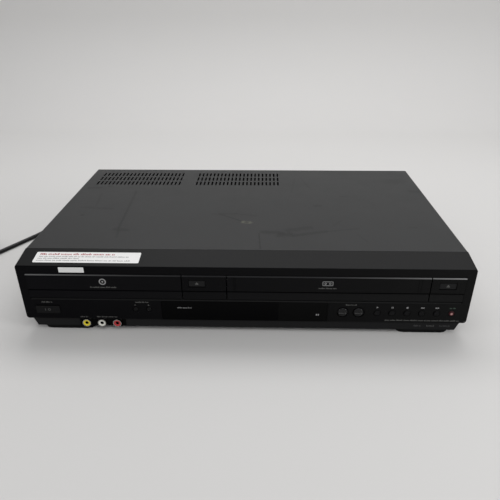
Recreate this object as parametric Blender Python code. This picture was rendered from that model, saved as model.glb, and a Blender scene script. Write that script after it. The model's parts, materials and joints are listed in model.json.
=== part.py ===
"""A disc player and tape recorder in one case, with its tray, tape holder, buttons and mains lead.

Metres, +Z up, +X to the right seen from the front, +Y to the back. The origin lies on the
surface that the feet stand on, below the middle of the case and what stands out of it.
"""
import math

import bmesh
import bpy
from mathutils import Matrix, Vector

for old in list(bpy.data.objects):
    bpy.data.objects.remove(old, do_unlink=True)

# Clearances and overlaps that every piece shares
FIT = 0.0003
PLAY = 0.0005
OVERRUN = 0.001
LAP = 0.0004
FINE_SIDES = 28
ROUND_SIDES = 16
SMALL_SIDES = 8
BUTTON_SIDES = 12
JACK_SIDES = 12
CORNER_STEPS = 3

# What goes in: the disc and the tape cassette
DISC_RADIUS = 0.06
DISC_MARGIN = 0.001
CASSETTE_WIDTH = 0.187
CASSETTE_THICK = 0.025

# The row of doors, from left to right, which sets the width of the case
SIDE_BORDER = 0.0083
END_GAP = 0.0004
DOOR_GAP = 0.001
TRAY_RIM = 0.0035
TRAY_DOOR_MARGIN = 0.00915
DISC_PANEL_WIDTH = 0.0414
FLAP_MARGIN = 0.0013
TAPE_PANEL_WIDTH = 0.0313
TRAY_WIDTH = 2 * (DISC_RADIUS + DISC_MARGIN + TRAY_RIM)
TRAY_DOOR_WIDTH = TRAY_WIDTH + 2 * TRAY_DOOR_MARGIN
FLAP_WIDTH = CASSETTE_WIDTH + 2 * FLAP_MARGIN
BODY_WIDTH = (
    2 * SIDE_BORDER
    + 2 * END_GAP
    + TRAY_DOOR_WIDTH
    + DISC_PANEL_WIDTH
    + FLAP_WIDTH
    + TAPE_PANEL_WIDTH
    + 3 * DOOR_GAP
)

# Depths from the front face to the back, which set the depth of the case
FRONT_BAY = 0.014
LOADER_DEPTH = 0.184
REAR_BAY = 0.068
DOOR_PROUD = 0.0012
JACK_REACH = 0.009
BODY_DEPTH = FRONT_BAY + LOADER_DEPTH + REAR_BAY
CREASE_DEPTH = 0.0268

# Heights, stacked from the surface up
FOOT_HEIGHT = 0.0052
STRIP_GAP = 0.0005
STRIP_HEIGHT = 0.009
LOWER_FRONT_HEIGHT = 0.0235
UNDER_DOOR_GAP = 0.0018
FLAP_HEIGHT_MARGIN = 0.0006
DOOR_HEIGHT = CASSETTE_THICK + FLAP_HEIGHT_MARGIN
OVER_DOOR_GAP = 0.0004
BROW_HEIGHT = 0.008
COVER_RISE = 0.005

# Walls
FASCIA_WALL = 0.0024
COVER_WALL = 0.001
PANEL_WALL = 0.001
CHASSIS_WALL = 0.001
DECK_WALL = 0.0012
BOARD_WALL = 0.0016

# The fascia
FASCIA_CORNER = 0.003
FASCIA_EDGE = 0.0007
LEDGE_CHAMFER = 0.0009
STRIP_RECESS = 0.0015
STRIP_WALL = 0.002
STRIP_TOP_INSET = 0.0057
STRIP_BOTTOM_INSET = 0.0094
PANEL_WEB = 0.0016
WEB_REACH = 0.005
COVER_LIP_REACH = 0.006
COVER_LIP_INSET = 0.014
BOARD_PEG_RADIUS = 0.0019

# The profile that the doors and the fixed panels beside them share
DOOR_BACK = 0.0016
DOOR_CHAMFER = 0.001
GROOVE_HEIGHT = 0.0014
GROOVE_DEPTH = 0.0016
LOWER_DOOR_HEIGHT = 0.0078
LOWER_DOOR_LEAN = 0.0006

# Buttons: the caps, their holes and their travel
BUTTON_GAP = 0.0004
BUTTON_PROUD = 0.0006
BUTTON_FLANGE = 0.001
BUTTON_FLANGE_REACH = 0.0009
BUTTON_STEM_RADIUS = 0.0014
BUTTON_CORNER = 0.0006
EJECT_WIDTH = 0.0152
EJECT_HEIGHT = 0.0067
EJECT_DROP_SHARE = 0.34
DISC_EJECT_INSET = 0.0062
TAPE_EJECT_INSET = 0.0077
POWER_WIDTH = 0.0232
POWER_HEIGHT = 0.009
POWER_INSET = 0.0234
POWER_DROP_SHARE = 0.532
TRACKING_RADIUS = 0.0025
TRACKING_PITCH = 0.013
TRACKING_INSET = 0.116
TRACKING_DROP_SHARE = 0.477
SELECT_RADIUS = 0.0055
SELECT_PITCH = 0.0152
SELECT_INSET = 0.1122
SELECT_DOME = 0.0011
SELECT_DOME_SHARES = ((-1.0, 0.33), (-0.8, 0.62), (-0.35, 0.88), (0.3, 1.0))
SELECT_DROP_SHARE = 0.511
TRANSPORT_RADIUS = 0.0031
TRANSPORT_PITCH = 0.0142
TRANSPORT_INSET = 0.016
TRANSPORT_DROP_SHARE = 0.528
RECORD_RADIUS = 0.0026
SWITCH_SIDE = 0.006
SWITCH_GAP = 0.0011

# The display
WINDOW_LEFT_GAP = 0.0126
WINDOW_RIGHT_GAP = 0.0147
WINDOW_DROP = 0.0018
WINDOW_RISE = 0.0006
WINDOW_WALL = 0.002
WINDOW_FLANGE = 0.0018
TUBE_END_INSET = 0.0152
TUBE_EDGE_INSET = 0.0025
TUBE_DEPTH = 0.0038
TUBE_TIP_SHARE = 0.25
TUBE_GAP = 0.0006

# The phono jacks at the front and the back
JACK_RADIUS = 0.00415
JACK_WALL = 0.0005
JACK_PIN_BORE = 0.0016
JACK_PIN_DEPTH = 0.008
GROUND_PLATE = 0.0008
JACK_PITCH = 0.01515
FRONT_JACK_INSET = 0.0592
FRONT_JACK_PROUD = 0.0008
FRONT_JACK_DEPTH = 0.016
JACK_PLATE_RIM = 0.0004
INSERT_RECESS = 0.0006
REAR_JACK_PITCH = 0.014
REAR_JACK_COLUMNS = 5
REAR_JACK_ROWS = 2
REAR_JACK_RISE = 0.022
REAR_JACK_INSET = 0.195
REAR_JACK_REACH = 0.008
REAR_JACK_DEPTH = 0.018
REAR_BLOCK_MARGIN = 0.0075

# The feet
FOOT_LENGTH = 0.052
FOOT_WIDTH = 0.016
FOOT_SIDE_INSET = 0.039
FOOT_FRONT_INSET = 0.0126
FOOT_REAR_INSET = 0.030

# The steel cover and its vents
COVER_INSET = 0.0004
COVER_BEND = 0.002
COVER_LIP_DROP = 0.011
VENT_WIDTH = 0.0022
VENT_LENGTH = 0.012
VENT_ROWS = 3
VENT_COLUMNS = 22
VENT_ROW_PITCH = 0.0165
LEFT_VENT_PITCH = 0.00507
RIGHT_VENT_PITCH = 0.005
LEFT_VENT_INSET = 0.0175
RIGHT_VENT_INSET = 0.1465
VENT_REAR_INSET = 0.021

# The steel bottom, its posts and the boards on them
CHASSIS_GAP = 0.001
FLANGE_HEIGHT = 0.02
POST_RADIUS = 0.004
POST_NECK = 0.003
BOARD_RISE = 0.0055
BOARD_HOLE_GAP = 0.0005
BOARD_MARGIN = 0.006
CHIP_SIZES = ((0.028, 0.028, 0.0024), (0.02, 0.014, 0.0026), (0.014, 0.02, 0.0026))
CHIP_PLACE_SHARES = ((0.3, 0.55), (0.55, 0.72), (0.74, 0.5))
POWER_BOARD_WIDTH = 0.095
POWER_BOARD_DEPTH = 0.055
TRANSFORMER_SIZE = (0.03, 0.028, 0.026)
TRANSFORMER_TAPE = 0.0018
TRANSFORMER_TAPE_SHARE = 0.33
CAPACITOR_RADIUS = 0.010
CAPACITOR_HEIGHT = 0.032

# The aerial box
TUNER_SIZE = (0.054, 0.024, 0.034)
TUNER_POST_SHARE = 0.33
TUNER_INSET = 0.060
TUNER_RISE = 0.0145
AERIAL_RADIUS = 0.0048
AERIAL_BORE_SHARE = 0.33
AERIAL_GAP = 0.0006
AERIAL_PITCH = 0.022

# The disc tray and the loader that it slides in
TRAY_THICK = 0.0085
TRAY_RIM_DROP = 0.0071
TRAY_TAIL = 0.0302
TRAY_CORNER = 0.006
DISC_FRONT_MARGIN = 0.011
WELL_DEPTH = 0.005
SMALL_DISC_RADIUS = 0.0405
SMALL_WELL_DEPTH = 0.001
TRAY_SLOT_WIDTH = 0.036
LOADER_WALL = 0.0024
LOADER_FLOOR = 0.002
LOADER_FLANGE = 0.0045
LOADER_DROP = 0.015
LOADER_TOP_GAP = 0.0027
RAIL_REACH = 0.004
RAIL_THICK = 0.0022
GUIDE_LENGTH = 0.008
GUIDE_THICK = 0.0015
FLOOR_WINDOW_WIDTH = 0.08
FLOOR_WINDOW_LENGTH = 0.122
FLOOR_WINDOW_INSET = 0.026

# The rack under the tray and the gear that drives it
GEAR_MODULE = 0.001
GEAR_TEETH = 16
GEAR_THICK = 0.0029
GEAR_BACKLASH = 0.00025
RACK_TOOTH_SHARE = 0.25
GEAR_PRESSURE_ANGLE = math.radians(20)
GEAR_ADDENDUM_SHARE = 1.0
GEAR_DEDENDUM_SHARE = 1.3
FLANK_SHARES = (0.0, 0.5, 1.0)
RACK_BACK = 0.002
RACK_INSET = 0.0085
GEAR_INSET = 0.010
GEAR_PIN_RADIUS = 0.0016
GEAR_HUB_RADIUS = 0.0034
PULLEY_RADIUS = 0.0085
PULLEY_THICK = 0.003

# The clamp over the disc
BRIDGE_DEPTH = 0.028
BRIDGE_WALL = 0.0012
CLAMP_RADIUS = 0.010
CLAMP_FLANGE_RADIUS = 0.0155
CLAMP_FLANGE_THICK = 0.0014
CLAMP_HOLE_GAP = 0.0008
CLAMP_DROP = 0.0030

# The traverse with the turntable and the pickup, drawn level and then lowered
TRAVERSE_WIDTH = 0.052
TRAVERSE_WALL = 0.0025
TRAVERSE_RISE = 0.010
TRAVERSE_NOSE = 0.016
TRAVERSE_HINGE_INSET = 0.082
TRAVERSE_TAIL = 0.005
TRAVERSE_LOWERED = math.radians(5)
HINGE_PIN_RADIUS = 0.002
HINGE_LUG_WIDTH = 0.004
HINGE_LUG_RADIUS = 0.0042
SLED_WINDOW_WIDTH = 0.030
SLED_WINDOW_START = 0.0145
SLED_WINDOW_END = 0.0740
ROD_RADIUS = 0.0015
ROD_SHIFT = 0.019
ROD_RISE = 0.002
ROD_END = 0.004
ROD_END_SHARE = 0.25
PLATTER_RADIUS = 0.0145
PLATTER_THICK = 0.0016
PLATTER_UP = 0.002
CONE_RADIUS = 0.0073
CONE_TIP_RADIUS = 0.005
CONE_HEIGHT = 0.0021
ROTOR_RADIUS = 0.0125
ROTOR_THICK = 0.006
COLUMN_RADIUS = 0.005
SPINDLE_RADIUS = 0.0015
SPINDLE_LENGTH = 0.0045
MOTOR_RADIUS = 0.011
MOTOR_THICK = 0.005
SLED_WIDTH = 0.028
SLED_LENGTH = 0.022
SLED_THICK = 0.008
SLED_START = 0.0158
SLED_ARM_THICK = 0.0038
LENS_RADIUS = 0.0034
LENS_RISE = 0.0022
LENS_SHARES = ((-0.2, 1.4), (0.5, 1.4), (0.5, 1.0), (1.0, 0.6))
LENS_PLACE_SHARE = 0.3
ARM_LENGTH_SHARE = 0.5

# The tape deck plate
DECK_HOLDER_GAP = 0.0012
DECK_FRONT = 0.030
DECK_REAR_INSET = 0.030
DECK_SIDE_MARGIN = 0.00085
DECK_POST_INSET = 0.007
REEL_SPREAD = 0.046
REEL_DEPTH = 0.128
REEL_RADIUS = 0.021
REEL_FLANGE = 0.0018
REEL_HUB_RADIUS = 0.0115
REEL_HUB_HEIGHT = 0.004
REEL_SPINDLE_RADIUS = 0.0075
REEL_HEIGHT = 0.0102
REEL_FIN_REACH = 0.0016
REEL_FIN_WIDTH = 0.0014
REEL_FINS = 3
DECK_PIN_RADIUS = 0.002

# The head drum
DRUM_RADIUS = 0.031
DRUM_DEPTH = 0.197
DRUM_TILT = math.radians(-6)
DRUM_BASE_RADIUS = 0.022
DRUM_BASE_HEIGHT = 0.006
DRUM_FOOT_SHARE = 0.33
LOWER_DRUM_HEIGHT = 0.011
UPPER_DRUM_HEIGHT = 0.0105
DRUM_SHAFT_RADIUS = 0.003
DRUM_RIM_STEP = 0.0012
DRUM_CAP_RADIUS = 0.012
DRUM_CAP_HEIGHT = 0.0022

# The capstan, the pinch roller and the fixed heads
CAPSTAN_SHIFT = 0.048
CAPSTAN_FORE = 0.021
CAPSTAN_RADIUS = 0.0015
CAPSTAN_TOP = 0.028
CAPSTAN_BEARING_RADIUS = 0.005
CAPSTAN_BEARING_HEIGHT = 0.0034
FLYWHEEL_RADIUS = 0.021
FLYWHEEL_THICK = 0.0034
ROLLER_RADIUS = 0.006
ROLLER_HEIGHT = 0.014
ROLLER_RISE = 0.008
ROLLER_BORE = 0.0022
ROLLER_SHAFT_RADIUS = 0.0018
ARM_PIVOT_SHIFT = 0.020
ARM_PIVOT_FORE = 0.012
ARM_WIDTH = 0.008
ARM_THICK = 0.0025
ARM_RISE = 0.004
ARM_PIN_RADIUS = 0.0018
ARM_SWING = math.radians(30)
HEAD_SIZE = (0.008, 0.006, 0.016)
HEAD_POST_RADIUS = 0.0025
HEAD_POST_HEIGHT = 0.008
SOUND_HEAD_SHIFT = 0.036
SOUND_HEAD_FORE = 0.015
ERASE_HEAD_SHIFT = -0.046
ERASE_HEAD_FORE = 0.011

# The cassette holder, its carriage and the brackets that carry them
HOLDER_SIDE_GAP = 0.00075
HOLDER_WALL = 0.0008
HOLDER_START = 0.036
HOLDER_LENGTH = 0.084
HOLDER_FLOOR_DROP = 0.0008
HOLDER_LEDGE = 0.020
HOLDER_FRONT_STRIP = 0.007
HOLDER_HEAD_GAP = 0.0014
HOLDER_MOUTH_LENGTH = 0.008
HOLDER_ROOF_LENGTH = 0.056
HOLDER_SLIDE = 0.062
HOLDER_DROP = 0.014
HOLDER_PIN_RADIUS = 0.0015
HOLDER_PIN_PLACES = (0.006, 0.074)
HOLDER_PIN_RISE = 0.0112
CARRIAGE_GAP = 0.0004
CARRIAGE_WALL = 0.0008
CARRIAGE_START = 0.034
CARRIAGE_LENGTH = 0.090
CARRIAGE_BOTTOM = 0.0066
CARRIAGE_TOP = 0.0254
CARRIAGE_PIN_RISE = 0.0201
CARRIAGE_PIN_PLACES = (0.010, 0.080)
CARRIAGE_BAR_PLACE = 0.076
CARRIAGE_BAR_DEPTH = 0.010
CARRIAGE_BAR_WALL = 0.0014
BRACKET_WALL = 0.0012
BRACKET_START = 0.026
BRACKET_LENGTH = 0.164
BRACKET_TOP = 0.0256
BRACKET_FOOT = 0.0065
BRACKET_SLOT_PLAY = 0.0003
BRACKET_BAR_WALL = 0.0016
BRACKET_BAR_HEIGHT = 0.008

# The tape flap and its hinge
HINGE_DEPTH = 0.004
HINGE_RISE = 0.0044
FLAP_EAR_WIDTH = 0.002
FLAP_EAR_RADIUS = 0.0016
FLAP_PIN_RADIUS = 0.0009
FLAP_PIN_LENGTH = 0.0022
LUG_WIDTH = 0.0028
LUG_REACH = 0.0024

# The mains lead: its diameter, its route from the case to the coil, and the coil
CORD_RADIUS = 0.0025
CORD_STEP = 0.0115
RELIEF_INSET = 0.028
RELIEF_RISE = 0.020
RELIEF_LENGTH = 0.022
RELIEF_FLANGE_RADIUS = 0.0075
RELIEF_FLANGE_THICK = 0.0022
RELIEF_NECK_RADIUS = 0.0052
RELIEF_TIP_RADIUS = 0.0034
CORD_ROUTE = (
    (-0.1870, 0.1594, 0.0200),
    (-0.1875, 0.1690, 0.0180),
    (-0.1915, 0.1815, 0.0125),
    (-0.2005, 0.1930, 0.0070),
    (-0.2140, 0.1995, 0.0036),
    (-0.2295, 0.1970, 0.0026),
    (-0.2430, 0.1860, 0.0025),
    (-0.2545, 0.1665, 0.0025),
    (-0.2640, 0.1425, 0.0025),
    (-0.2735, 0.1180, 0.0025),
    (-0.2835, 0.0950, 0.0025),
    (-0.2927, 0.0753, 0.0025),
    (-0.3070, 0.0500, 0.0025),
    (-0.3216, 0.0244, 0.0025),
)
COIL_START = (-0.3361, -0.0018, 0.0025)
COIL_HEADING = math.radians(240.6)
COIL_OUTER_RADIUS = 0.0365
COIL_PITCH = 0.0062
COIL_LAYER_RISE = 0.0056
COIL_LAYER_TURNS = 3.25
COIL_CLIMB_TURNS = 0.5
COIL_POINTS = 24
COIL_APART_POINTS = 6
COIL_TAIL = 0.026
COIL_TAIL_STEPS = 3
PLUG_TAPER = 0.016
PLUG_LENGTH = 0.024
PLUG_WIDTH = 0.024
PLUG_CORNER = 0.005
PLUG_TAPER_TIP = 0.0036
PLUG_TAPER_SHARE = 0.86
BLADE_LENGTH = 0.0175
BLADE_WIDTH = 0.0063
BLADE_THICK = 0.0016
BLADE_SPREAD = 0.0127

# Places worked out from the sizes above
FRONT = -(DOOR_PROUD + BODY_DEPTH + JACK_REACH) / 2 + DOOR_PROUD
REAR = FRONT + BODY_DEPTH
CREASE = FRONT + CREASE_DEPTH
LEFT = -BODY_WIDTH / 2
RIGHT = BODY_WIDTH / 2
STRIP_BOTTOM = FOOT_HEIGHT + STRIP_GAP
FASCIA_BOTTOM = STRIP_BOTTOM + STRIP_HEIGHT
LEDGE = FASCIA_BOTTOM + LOWER_FRONT_HEIGHT
DOOR_BOTTOM = LEDGE + UNDER_DOOR_GAP
DOOR_TOP = DOOR_BOTTOM + DOOR_HEIGHT
BROW_BOTTOM = DOOR_TOP + OVER_DOOR_GAP
FRONT_TOP = BROW_BOTTOM + BROW_HEIGHT
COVER_TOP = FRONT_TOP + COVER_RISE
CHASSIS_BOTTOM = FOOT_HEIGHT + FIT
CHASSIS_TOP = CHASSIS_BOTTOM + CHASSIS_WALL
EJECT_Z = DOOR_TOP - EJECT_DROP_SHARE * DOOR_HEIGHT
POWER_Z = LEDGE - POWER_DROP_SHARE * LOWER_FRONT_HEIGHT
TRACKING_Z = LEDGE - TRACKING_DROP_SHARE * LOWER_FRONT_HEIGHT
SELECT_Z = LEDGE - SELECT_DROP_SHARE * LOWER_FRONT_HEIGHT
TRANSPORT_Z = LEDGE - TRANSPORT_DROP_SHARE * LOWER_FRONT_HEIGHT
TRACKING_X = LEFT + TRACKING_INSET
SELECT_X = RIGHT - SELECT_INSET
WINDOW_X = (
    TRACKING_X + TRACKING_PITCH / 2 + WINDOW_LEFT_GAP,
    SELECT_X - SELECT_PITCH / 2 - WINDOW_RIGHT_GAP,
)
WINDOW_Z = (FASCIA_BOTTOM + WINDOW_RISE, LEDGE - WINDOW_DROP)
FOOT_X = RIGHT - FOOT_SIDE_INSET
RELIEF_X = LEFT + RELIEF_INSET
REAR_JACK_X = RIGHT - REAR_JACK_INSET
TUNER_X = RIGHT - TUNER_INSET
DOORS_LEFT = LEFT + SIDE_BORDER
DOORS_RIGHT = RIGHT - SIDE_BORDER
TRAY_DOOR_LEFT = DOORS_LEFT + END_GAP
TRAY_DOOR_RIGHT = TRAY_DOOR_LEFT + TRAY_DOOR_WIDTH
DISC_PANEL_LEFT = TRAY_DOOR_RIGHT + DOOR_GAP
DISC_PANEL_RIGHT = DISC_PANEL_LEFT + DISC_PANEL_WIDTH
FLAP_LEFT = DISC_PANEL_RIGHT + DOOR_GAP
FLAP_RIGHT = FLAP_LEFT + FLAP_WIDTH
TAPE_PANEL_LEFT = FLAP_RIGHT + DOOR_GAP
TAPE_PANEL_RIGHT = DOORS_RIGHT - END_GAP
FASCIA_BACK = FRONT + FASCIA_WALL
WEB_BACK = FASCIA_BACK + PANEL_WEB
STRIP_BACK = FRONT + STRIP_RECESS + STRIP_WALL
PANEL_BACK = REAR - COVER_WALL - FIT
PANEL_FRONT = PANEL_BACK - PANEL_WALL
LOADER_X = (TRAY_DOOR_LEFT + TRAY_DOOR_RIGHT) / 2
DECK_X = (FLAP_LEFT + FLAP_RIGHT) / 2
LOADER_FRONT = FRONT + FRONT_BAY
LOADER_BACK = LOADER_FRONT + LOADER_DEPTH
TRAY_TOP = DOOR_TOP - TRAY_RIM_DROP
TRAY_BOTTOM = TRAY_TOP - TRAY_THICK
TRAY_FRONT = FRONT + DOOR_BACK + FIT
WELL_FLOOR = TRAY_TOP - WELL_DEPTH
TRAY_BACK = TRAY_FRONT + DISC_FRONT_MARGIN + 2 * (DISC_RADIUS + DISC_MARGIN) + TRAY_TAIL
HUB_Y = TRAY_FRONT + DISC_FRONT_MARGIN + DISC_RADIUS + DISC_MARGIN
LOADER_BOTTOM = DOOR_BOTTOM - LOADER_DROP
LOADER_INNER = TRAY_WIDTH / 2 + PLAY
LOADER_OUTER = LOADER_INNER + LOADER_WALL
LOADER_TOP = TRAY_TOP + LOADER_TOP_GAP
RAIL_TOP = TRAY_BOTTOM - FIT
BRIDGE_BOTTOM = LOADER_TOP + FIT
BRIDGE_TOP = BRIDGE_BOTTOM + BRIDGE_WALL
GEAR_RADIUS = GEAR_MODULE * GEAR_TEETH / 2
RACK_X = LOADER_X + TRAY_WIDTH / 2 - RACK_INSET
GEAR_X = RACK_X - GEAR_RADIUS
GEAR_Y = LOADER_FRONT + GEAR_INSET
GEAR_TOP = TRAY_BOTTOM - FIT
GEAR_BOTTOM = GEAR_TOP - GEAR_THICK
HINGE_Y = HUB_Y + TRAVERSE_HINGE_INSET
HINGE_Z = LOADER_BOTTOM + TRAVERSE_RISE
DECK_Y = (FRONT + DECK_FRONT, REAR - DECK_REAR_INSET)
REEL_Y = FRONT + REEL_DEPTH
DRUM_Y = FRONT + DRUM_DEPTH
CAPSTAN_X = DECK_X + CAPSTAN_SHIFT
CAPSTAN_Y = DRUM_Y - CAPSTAN_FORE
ARM_X = CAPSTAN_X + ARM_PIVOT_SHIFT
ARM_Y = CAPSTAN_Y + ARM_PIVOT_FORE
HOLDER_INNER = CASSETTE_WIDTH / 2 + HOLDER_SIDE_GAP
HOLDER_OUTER = HOLDER_INNER + HOLDER_WALL
HOLDER_FRONT = FRONT + HOLDER_START
HOLDER_FLOOR = DOOR_BOTTOM - HOLDER_FLOOR_DROP
HOLDER_BOTTOM = HOLDER_FLOOR - HOLDER_WALL
HOLDER_ROOF = HOLDER_FLOOR + CASSETTE_THICK + HOLDER_HEAD_GAP
DECK_TOP = HOLDER_BOTTOM - HOLDER_DROP - DECK_HOLDER_GAP
DECK_RISE = DECK_TOP - DECK_WALL
DRUM_FOOT = DECK_TOP + FIT
HOLDER_PIN_Z = HOLDER_BOTTOM + HOLDER_PIN_RISE
CARRIAGE_INNER = HOLDER_OUTER + CARRIAGE_GAP
CARRIAGE_OUTER = CARRIAGE_INNER + CARRIAGE_WALL
CARRIAGE_FRONT = FRONT + CARRIAGE_START
CARRIAGE_PIN_Z = HOLDER_BOTTOM + CARRIAGE_PIN_RISE
BRACKET_INNER = CARRIAGE_OUTER + CARRIAGE_GAP
BRACKET_OUTER = BRACKET_INNER + BRACKET_WALL
DECK_HALF_WIDTH = BRACKET_INNER + BRACKET_FOOT + DECK_SIDE_MARGIN
FLAP_HINGE_Y = FRONT + HINGE_DEPTH
FLAP_HINGE_Z = DOOR_TOP + HINGE_RISE
COVER_LEFT = LEFT + COVER_INSET
COVER_RIGHT = RIGHT - COVER_INSET
FLANGE_SHIFT = BODY_WIDTH / 2 - COVER_INSET - COVER_WALL - FIT
BOARD_BOTTOM = CHASSIS_TOP + BOARD_RISE
BOARD_TOP = BOARD_BOTTOM + BOARD_WALL
BOARD_FACE = WEB_BACK + BUTTON_FLANGE + FIT + SWITCH_GAP + TUBE_DEPTH
JACK_Z = STRIP_BOTTOM + STRIP_HEIGHT / 2
JACK_FACE = FRONT + STRIP_RECESS + PLAY
JACK_BLOCK_BACK = JACK_FACE + FRONT_JACK_DEPTH
RELIEF_END = REAR + RELIEF_LENGTH

# The angle above which an edge is drawn sharp
SHARP_ANGLE = math.radians(35)

# Looks: colour, roughness and metallic
BLACK_PLASTIC = ((0.012, 0.012, 0.013), 0.38, 0)
DARK_PLASTIC = ((0.02, 0.02, 0.022), 0.5, 0)
GREY_PAINT = ((0.06, 0.06, 0.062), 0.45, 0)
SMOKED_WINDOW = ((0.004, 0.004, 0.005), 0.12, 0)
BARE_STEEL = ((0.55, 0.56, 0.57), 0.35, 1)
DULL_STEEL = ((0.38, 0.39, 0.40), 0.5, 1)
NICKEL = ((0.66, 0.64, 0.60), 0.25, 1)
BOARD_GREEN = ((0.06, 0.14, 0.05), 0.5, 0)
BOARD_TAN = ((0.35, 0.24, 0.12), 0.55, 0)
GREY_PLASTIC = ((0.10, 0.10, 0.105), 0.5, 0)
WHITE_PLASTIC = ((0.62, 0.62, 0.60), 0.45, 0)
RUBBER = ((0.015, 0.015, 0.015), 0.8, 0)
TUBE_GLASS = ((0.05, 0.07, 0.07), 0.1, 0)
YELLOW = ((0.75, 0.62, 0.03), 0.4, 0)
WHITE = ((0.75, 0.74, 0.70), 0.4, 0)
RED = ((0.45, 0.03, 0.04), 0.4, 0)
RECORD_RED = ((0.30, 0.04, 0.05), 0.4, 0)


def solid(points, faces):
    """A closed mesh from its corners and faces, with its faces turned outward."""
    mesh = bpy.data.meshes.new("shape")
    mesh.from_pydata(points, [], faces)
    work = bmesh.new()
    work.from_mesh(mesh)
    bmesh.ops.recalc_face_normals(work, faces=work.faces)
    work.to_mesh(mesh)
    work.free()
    shape = bpy.data.objects.new("shape", mesh)
    bpy.context.scene.collection.objects.link(shape)
    return shape


def place_on(axis, along, first, second):
    """A corner from its place along an axis and its two places across it, taken in X, Y, Z order."""
    return {
        "X": (along, first, second),
        "Y": (first, along, second),
        "Z": (first, second, along),
    }[axis]


def prism(axis, outline, low, high):
    """An outline drawn out along an axis."""
    count = len(outline)
    points = [place_on(axis, low, *corner) for corner in outline]
    points += [place_on(axis, high, *corner) for corner in outline]
    faces = [tuple(range(count)), tuple(range(count, 2 * count))]
    for i in range(count):
        j = (i + 1) % count
        faces.append((i, j, count + j, count + i))
    return solid(points, faces)


def block(x, y, z):
    """A box from its low and high place on each axis."""
    outline = ((x[0], y[0]), (x[1], y[0]), (x[1], y[1]), (x[0], y[1]))
    return prism("Z", outline, *z)


def around(middle, reach):
    """The low and high place of a stretch that reaches as far to both sides of its middle."""
    return middle - reach, middle + reach


def circle(middle, radius, sides):
    return [
        (
            middle[0] + radius * math.cos(2 * math.pi * i / sides),
            middle[1] + radius * math.sin(2 * math.pi * i / sides),
        )
        for i in range(sides)
    ]


def rounded(x, y, radius):
    """A rectangle with round corners, from its low and high place on two axes."""
    outline = []
    corners = (
        (x[1] - radius, y[1] - radius),
        (x[0] + radius, y[1] - radius),
        (x[0] + radius, y[0] + radius),
        (x[1] - radius, y[0] + radius),
    )
    for quarter, middle in enumerate(corners):
        for step in range(CORNER_STEPS + 1):
            angle = math.pi / 2 * (quarter + step / CORNER_STEPS)
            outline.append(
                (
                    middle[0] + radius * math.cos(angle),
                    middle[1] + radius * math.sin(angle),
                )
            )
    return outline


def turned(axis, middle, profile, sides):
    """A round solid from its (place along the axis, radius) steps, closed at both ends."""
    points = []
    for along, radius in profile:
        points += [place_on(axis, along, *p) for p in circle(middle, radius, sides)]
    last = len(points) - sides
    faces = [tuple(range(sides)), tuple(range(last, last + sides))]
    for ring in range(0, last, sides):
        for i in range(sides):
            j = (i + 1) % sides
            faces.append((ring + i, ring + j, ring + sides + j, ring + sides + i))
    return solid(points, faces)


def rod(axis, middle, radius, low, high, sides=SMALL_SIDES):
    return turned(axis, middle, ((low, radius), (high, radius)), sides)


def together(shapes):
    """Separate solids as one object."""
    work = bmesh.new()
    for shape in shapes:
        work.from_mesh(shape.data)
    mesh = bpy.data.meshes.new("shape")
    work.to_mesh(mesh)
    work.free()
    for shape in shapes:
        bpy.data.objects.remove(shape, do_unlink=True)
    whole = bpy.data.objects.new("shape", mesh)
    bpy.context.scene.collection.objects.link(whole)
    return whole


def worked(base, others, operation):
    """The base with each other solid joined to it or cut from it."""
    for other in others:
        step = base.modifiers.new("step", "BOOLEAN")
        step.operation = operation
        step.solver = "EXACT"
        step.object = other
    graph = bpy.context.evaluated_depsgraph_get()
    mesh = bpy.data.meshes.new_from_object(base.evaluated_get(graph))
    base.modifiers.clear()
    base.data = mesh
    for other in others:
        bpy.data.objects.remove(other, do_unlink=True)
    return base


def join(base, *others):
    return worked(base, others, "UNION")


def cut(base, *others):
    return worked(base, others, "DIFFERENCE")


def turn(shape, middle, axis, angle):
    """Turns a solid about an axis through a place."""
    there = Matrix.Translation(middle)
    shape.data.transform(there @ Matrix.Rotation(angle, 4, axis) @ there.inverted())
    return shape


def round_edges(shape, width, steps, wanted):
    """Rounds the edges whose two ends pass the wanted test."""
    work = bmesh.new()
    work.from_mesh(shape.data)
    edges = [edge for edge in work.edges if wanted(*(end.co for end in edge.verts))]
    bmesh.ops.bevel(
        work, geom=edges, offset=width, segments=steps, profile=0.5, affect="EDGES"
    )
    work.to_mesh(shape.data)
    work.free()
    return shape


def finish(shape, name, look, pivot=None, holder=None):
    """Names a piece, gives it its material, and puts its origin on the axis that it moves on."""
    colour, roughness, metallic = look
    shape.name = name
    shape.data.name = name
    material = bpy.data.materials.new(name)
    material.use_nodes = True
    shader = material.node_tree.nodes["Principled BSDF"]
    shader.inputs["Base Color"].default_value = (*colour, 1)
    shader.inputs["Roughness"].default_value = roughness
    shader.inputs["Metallic"].default_value = metallic
    shape.data.materials.clear()
    shape.data.materials.append(material)
    shape.data.shade_smooth()
    shape.data.set_sharp_from_angle(angle=SHARP_ANGLE)
    if pivot:
        shape.data.transform(Matrix.Translation(pivot).inverted())
        shape.location = pivot
    if holder:
        bpy.context.view_layer.update()
        shape.parent = holder
        shape.matrix_parent_inverse = holder.matrix_world.inverted()
    return shape



def door_outline(back):
    """The doors' profile seen from the side: a chamfer on top, a groove, and a leaning lower strip."""
    face = FRONT - DOOR_PROUD
    groove_bottom = DOOR_BOTTOM + LOWER_DOOR_HEIGHT
    groove_top = groove_bottom + GROOVE_HEIGHT
    groove_back = face + GROOVE_DEPTH
    return (
        (back, DOOR_TOP),
        (face + DOOR_CHAMFER, DOOR_TOP),
        (face, DOOR_TOP - DOOR_CHAMFER),
        (face, groove_top),
        (groove_back, groove_top),
        (groove_back, groove_bottom),
        (face + LOWER_DOOR_LEAN, groove_bottom),
        (face, DOOR_BOTTOM),
        (back, DOOR_BOTTOM),
    )


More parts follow.
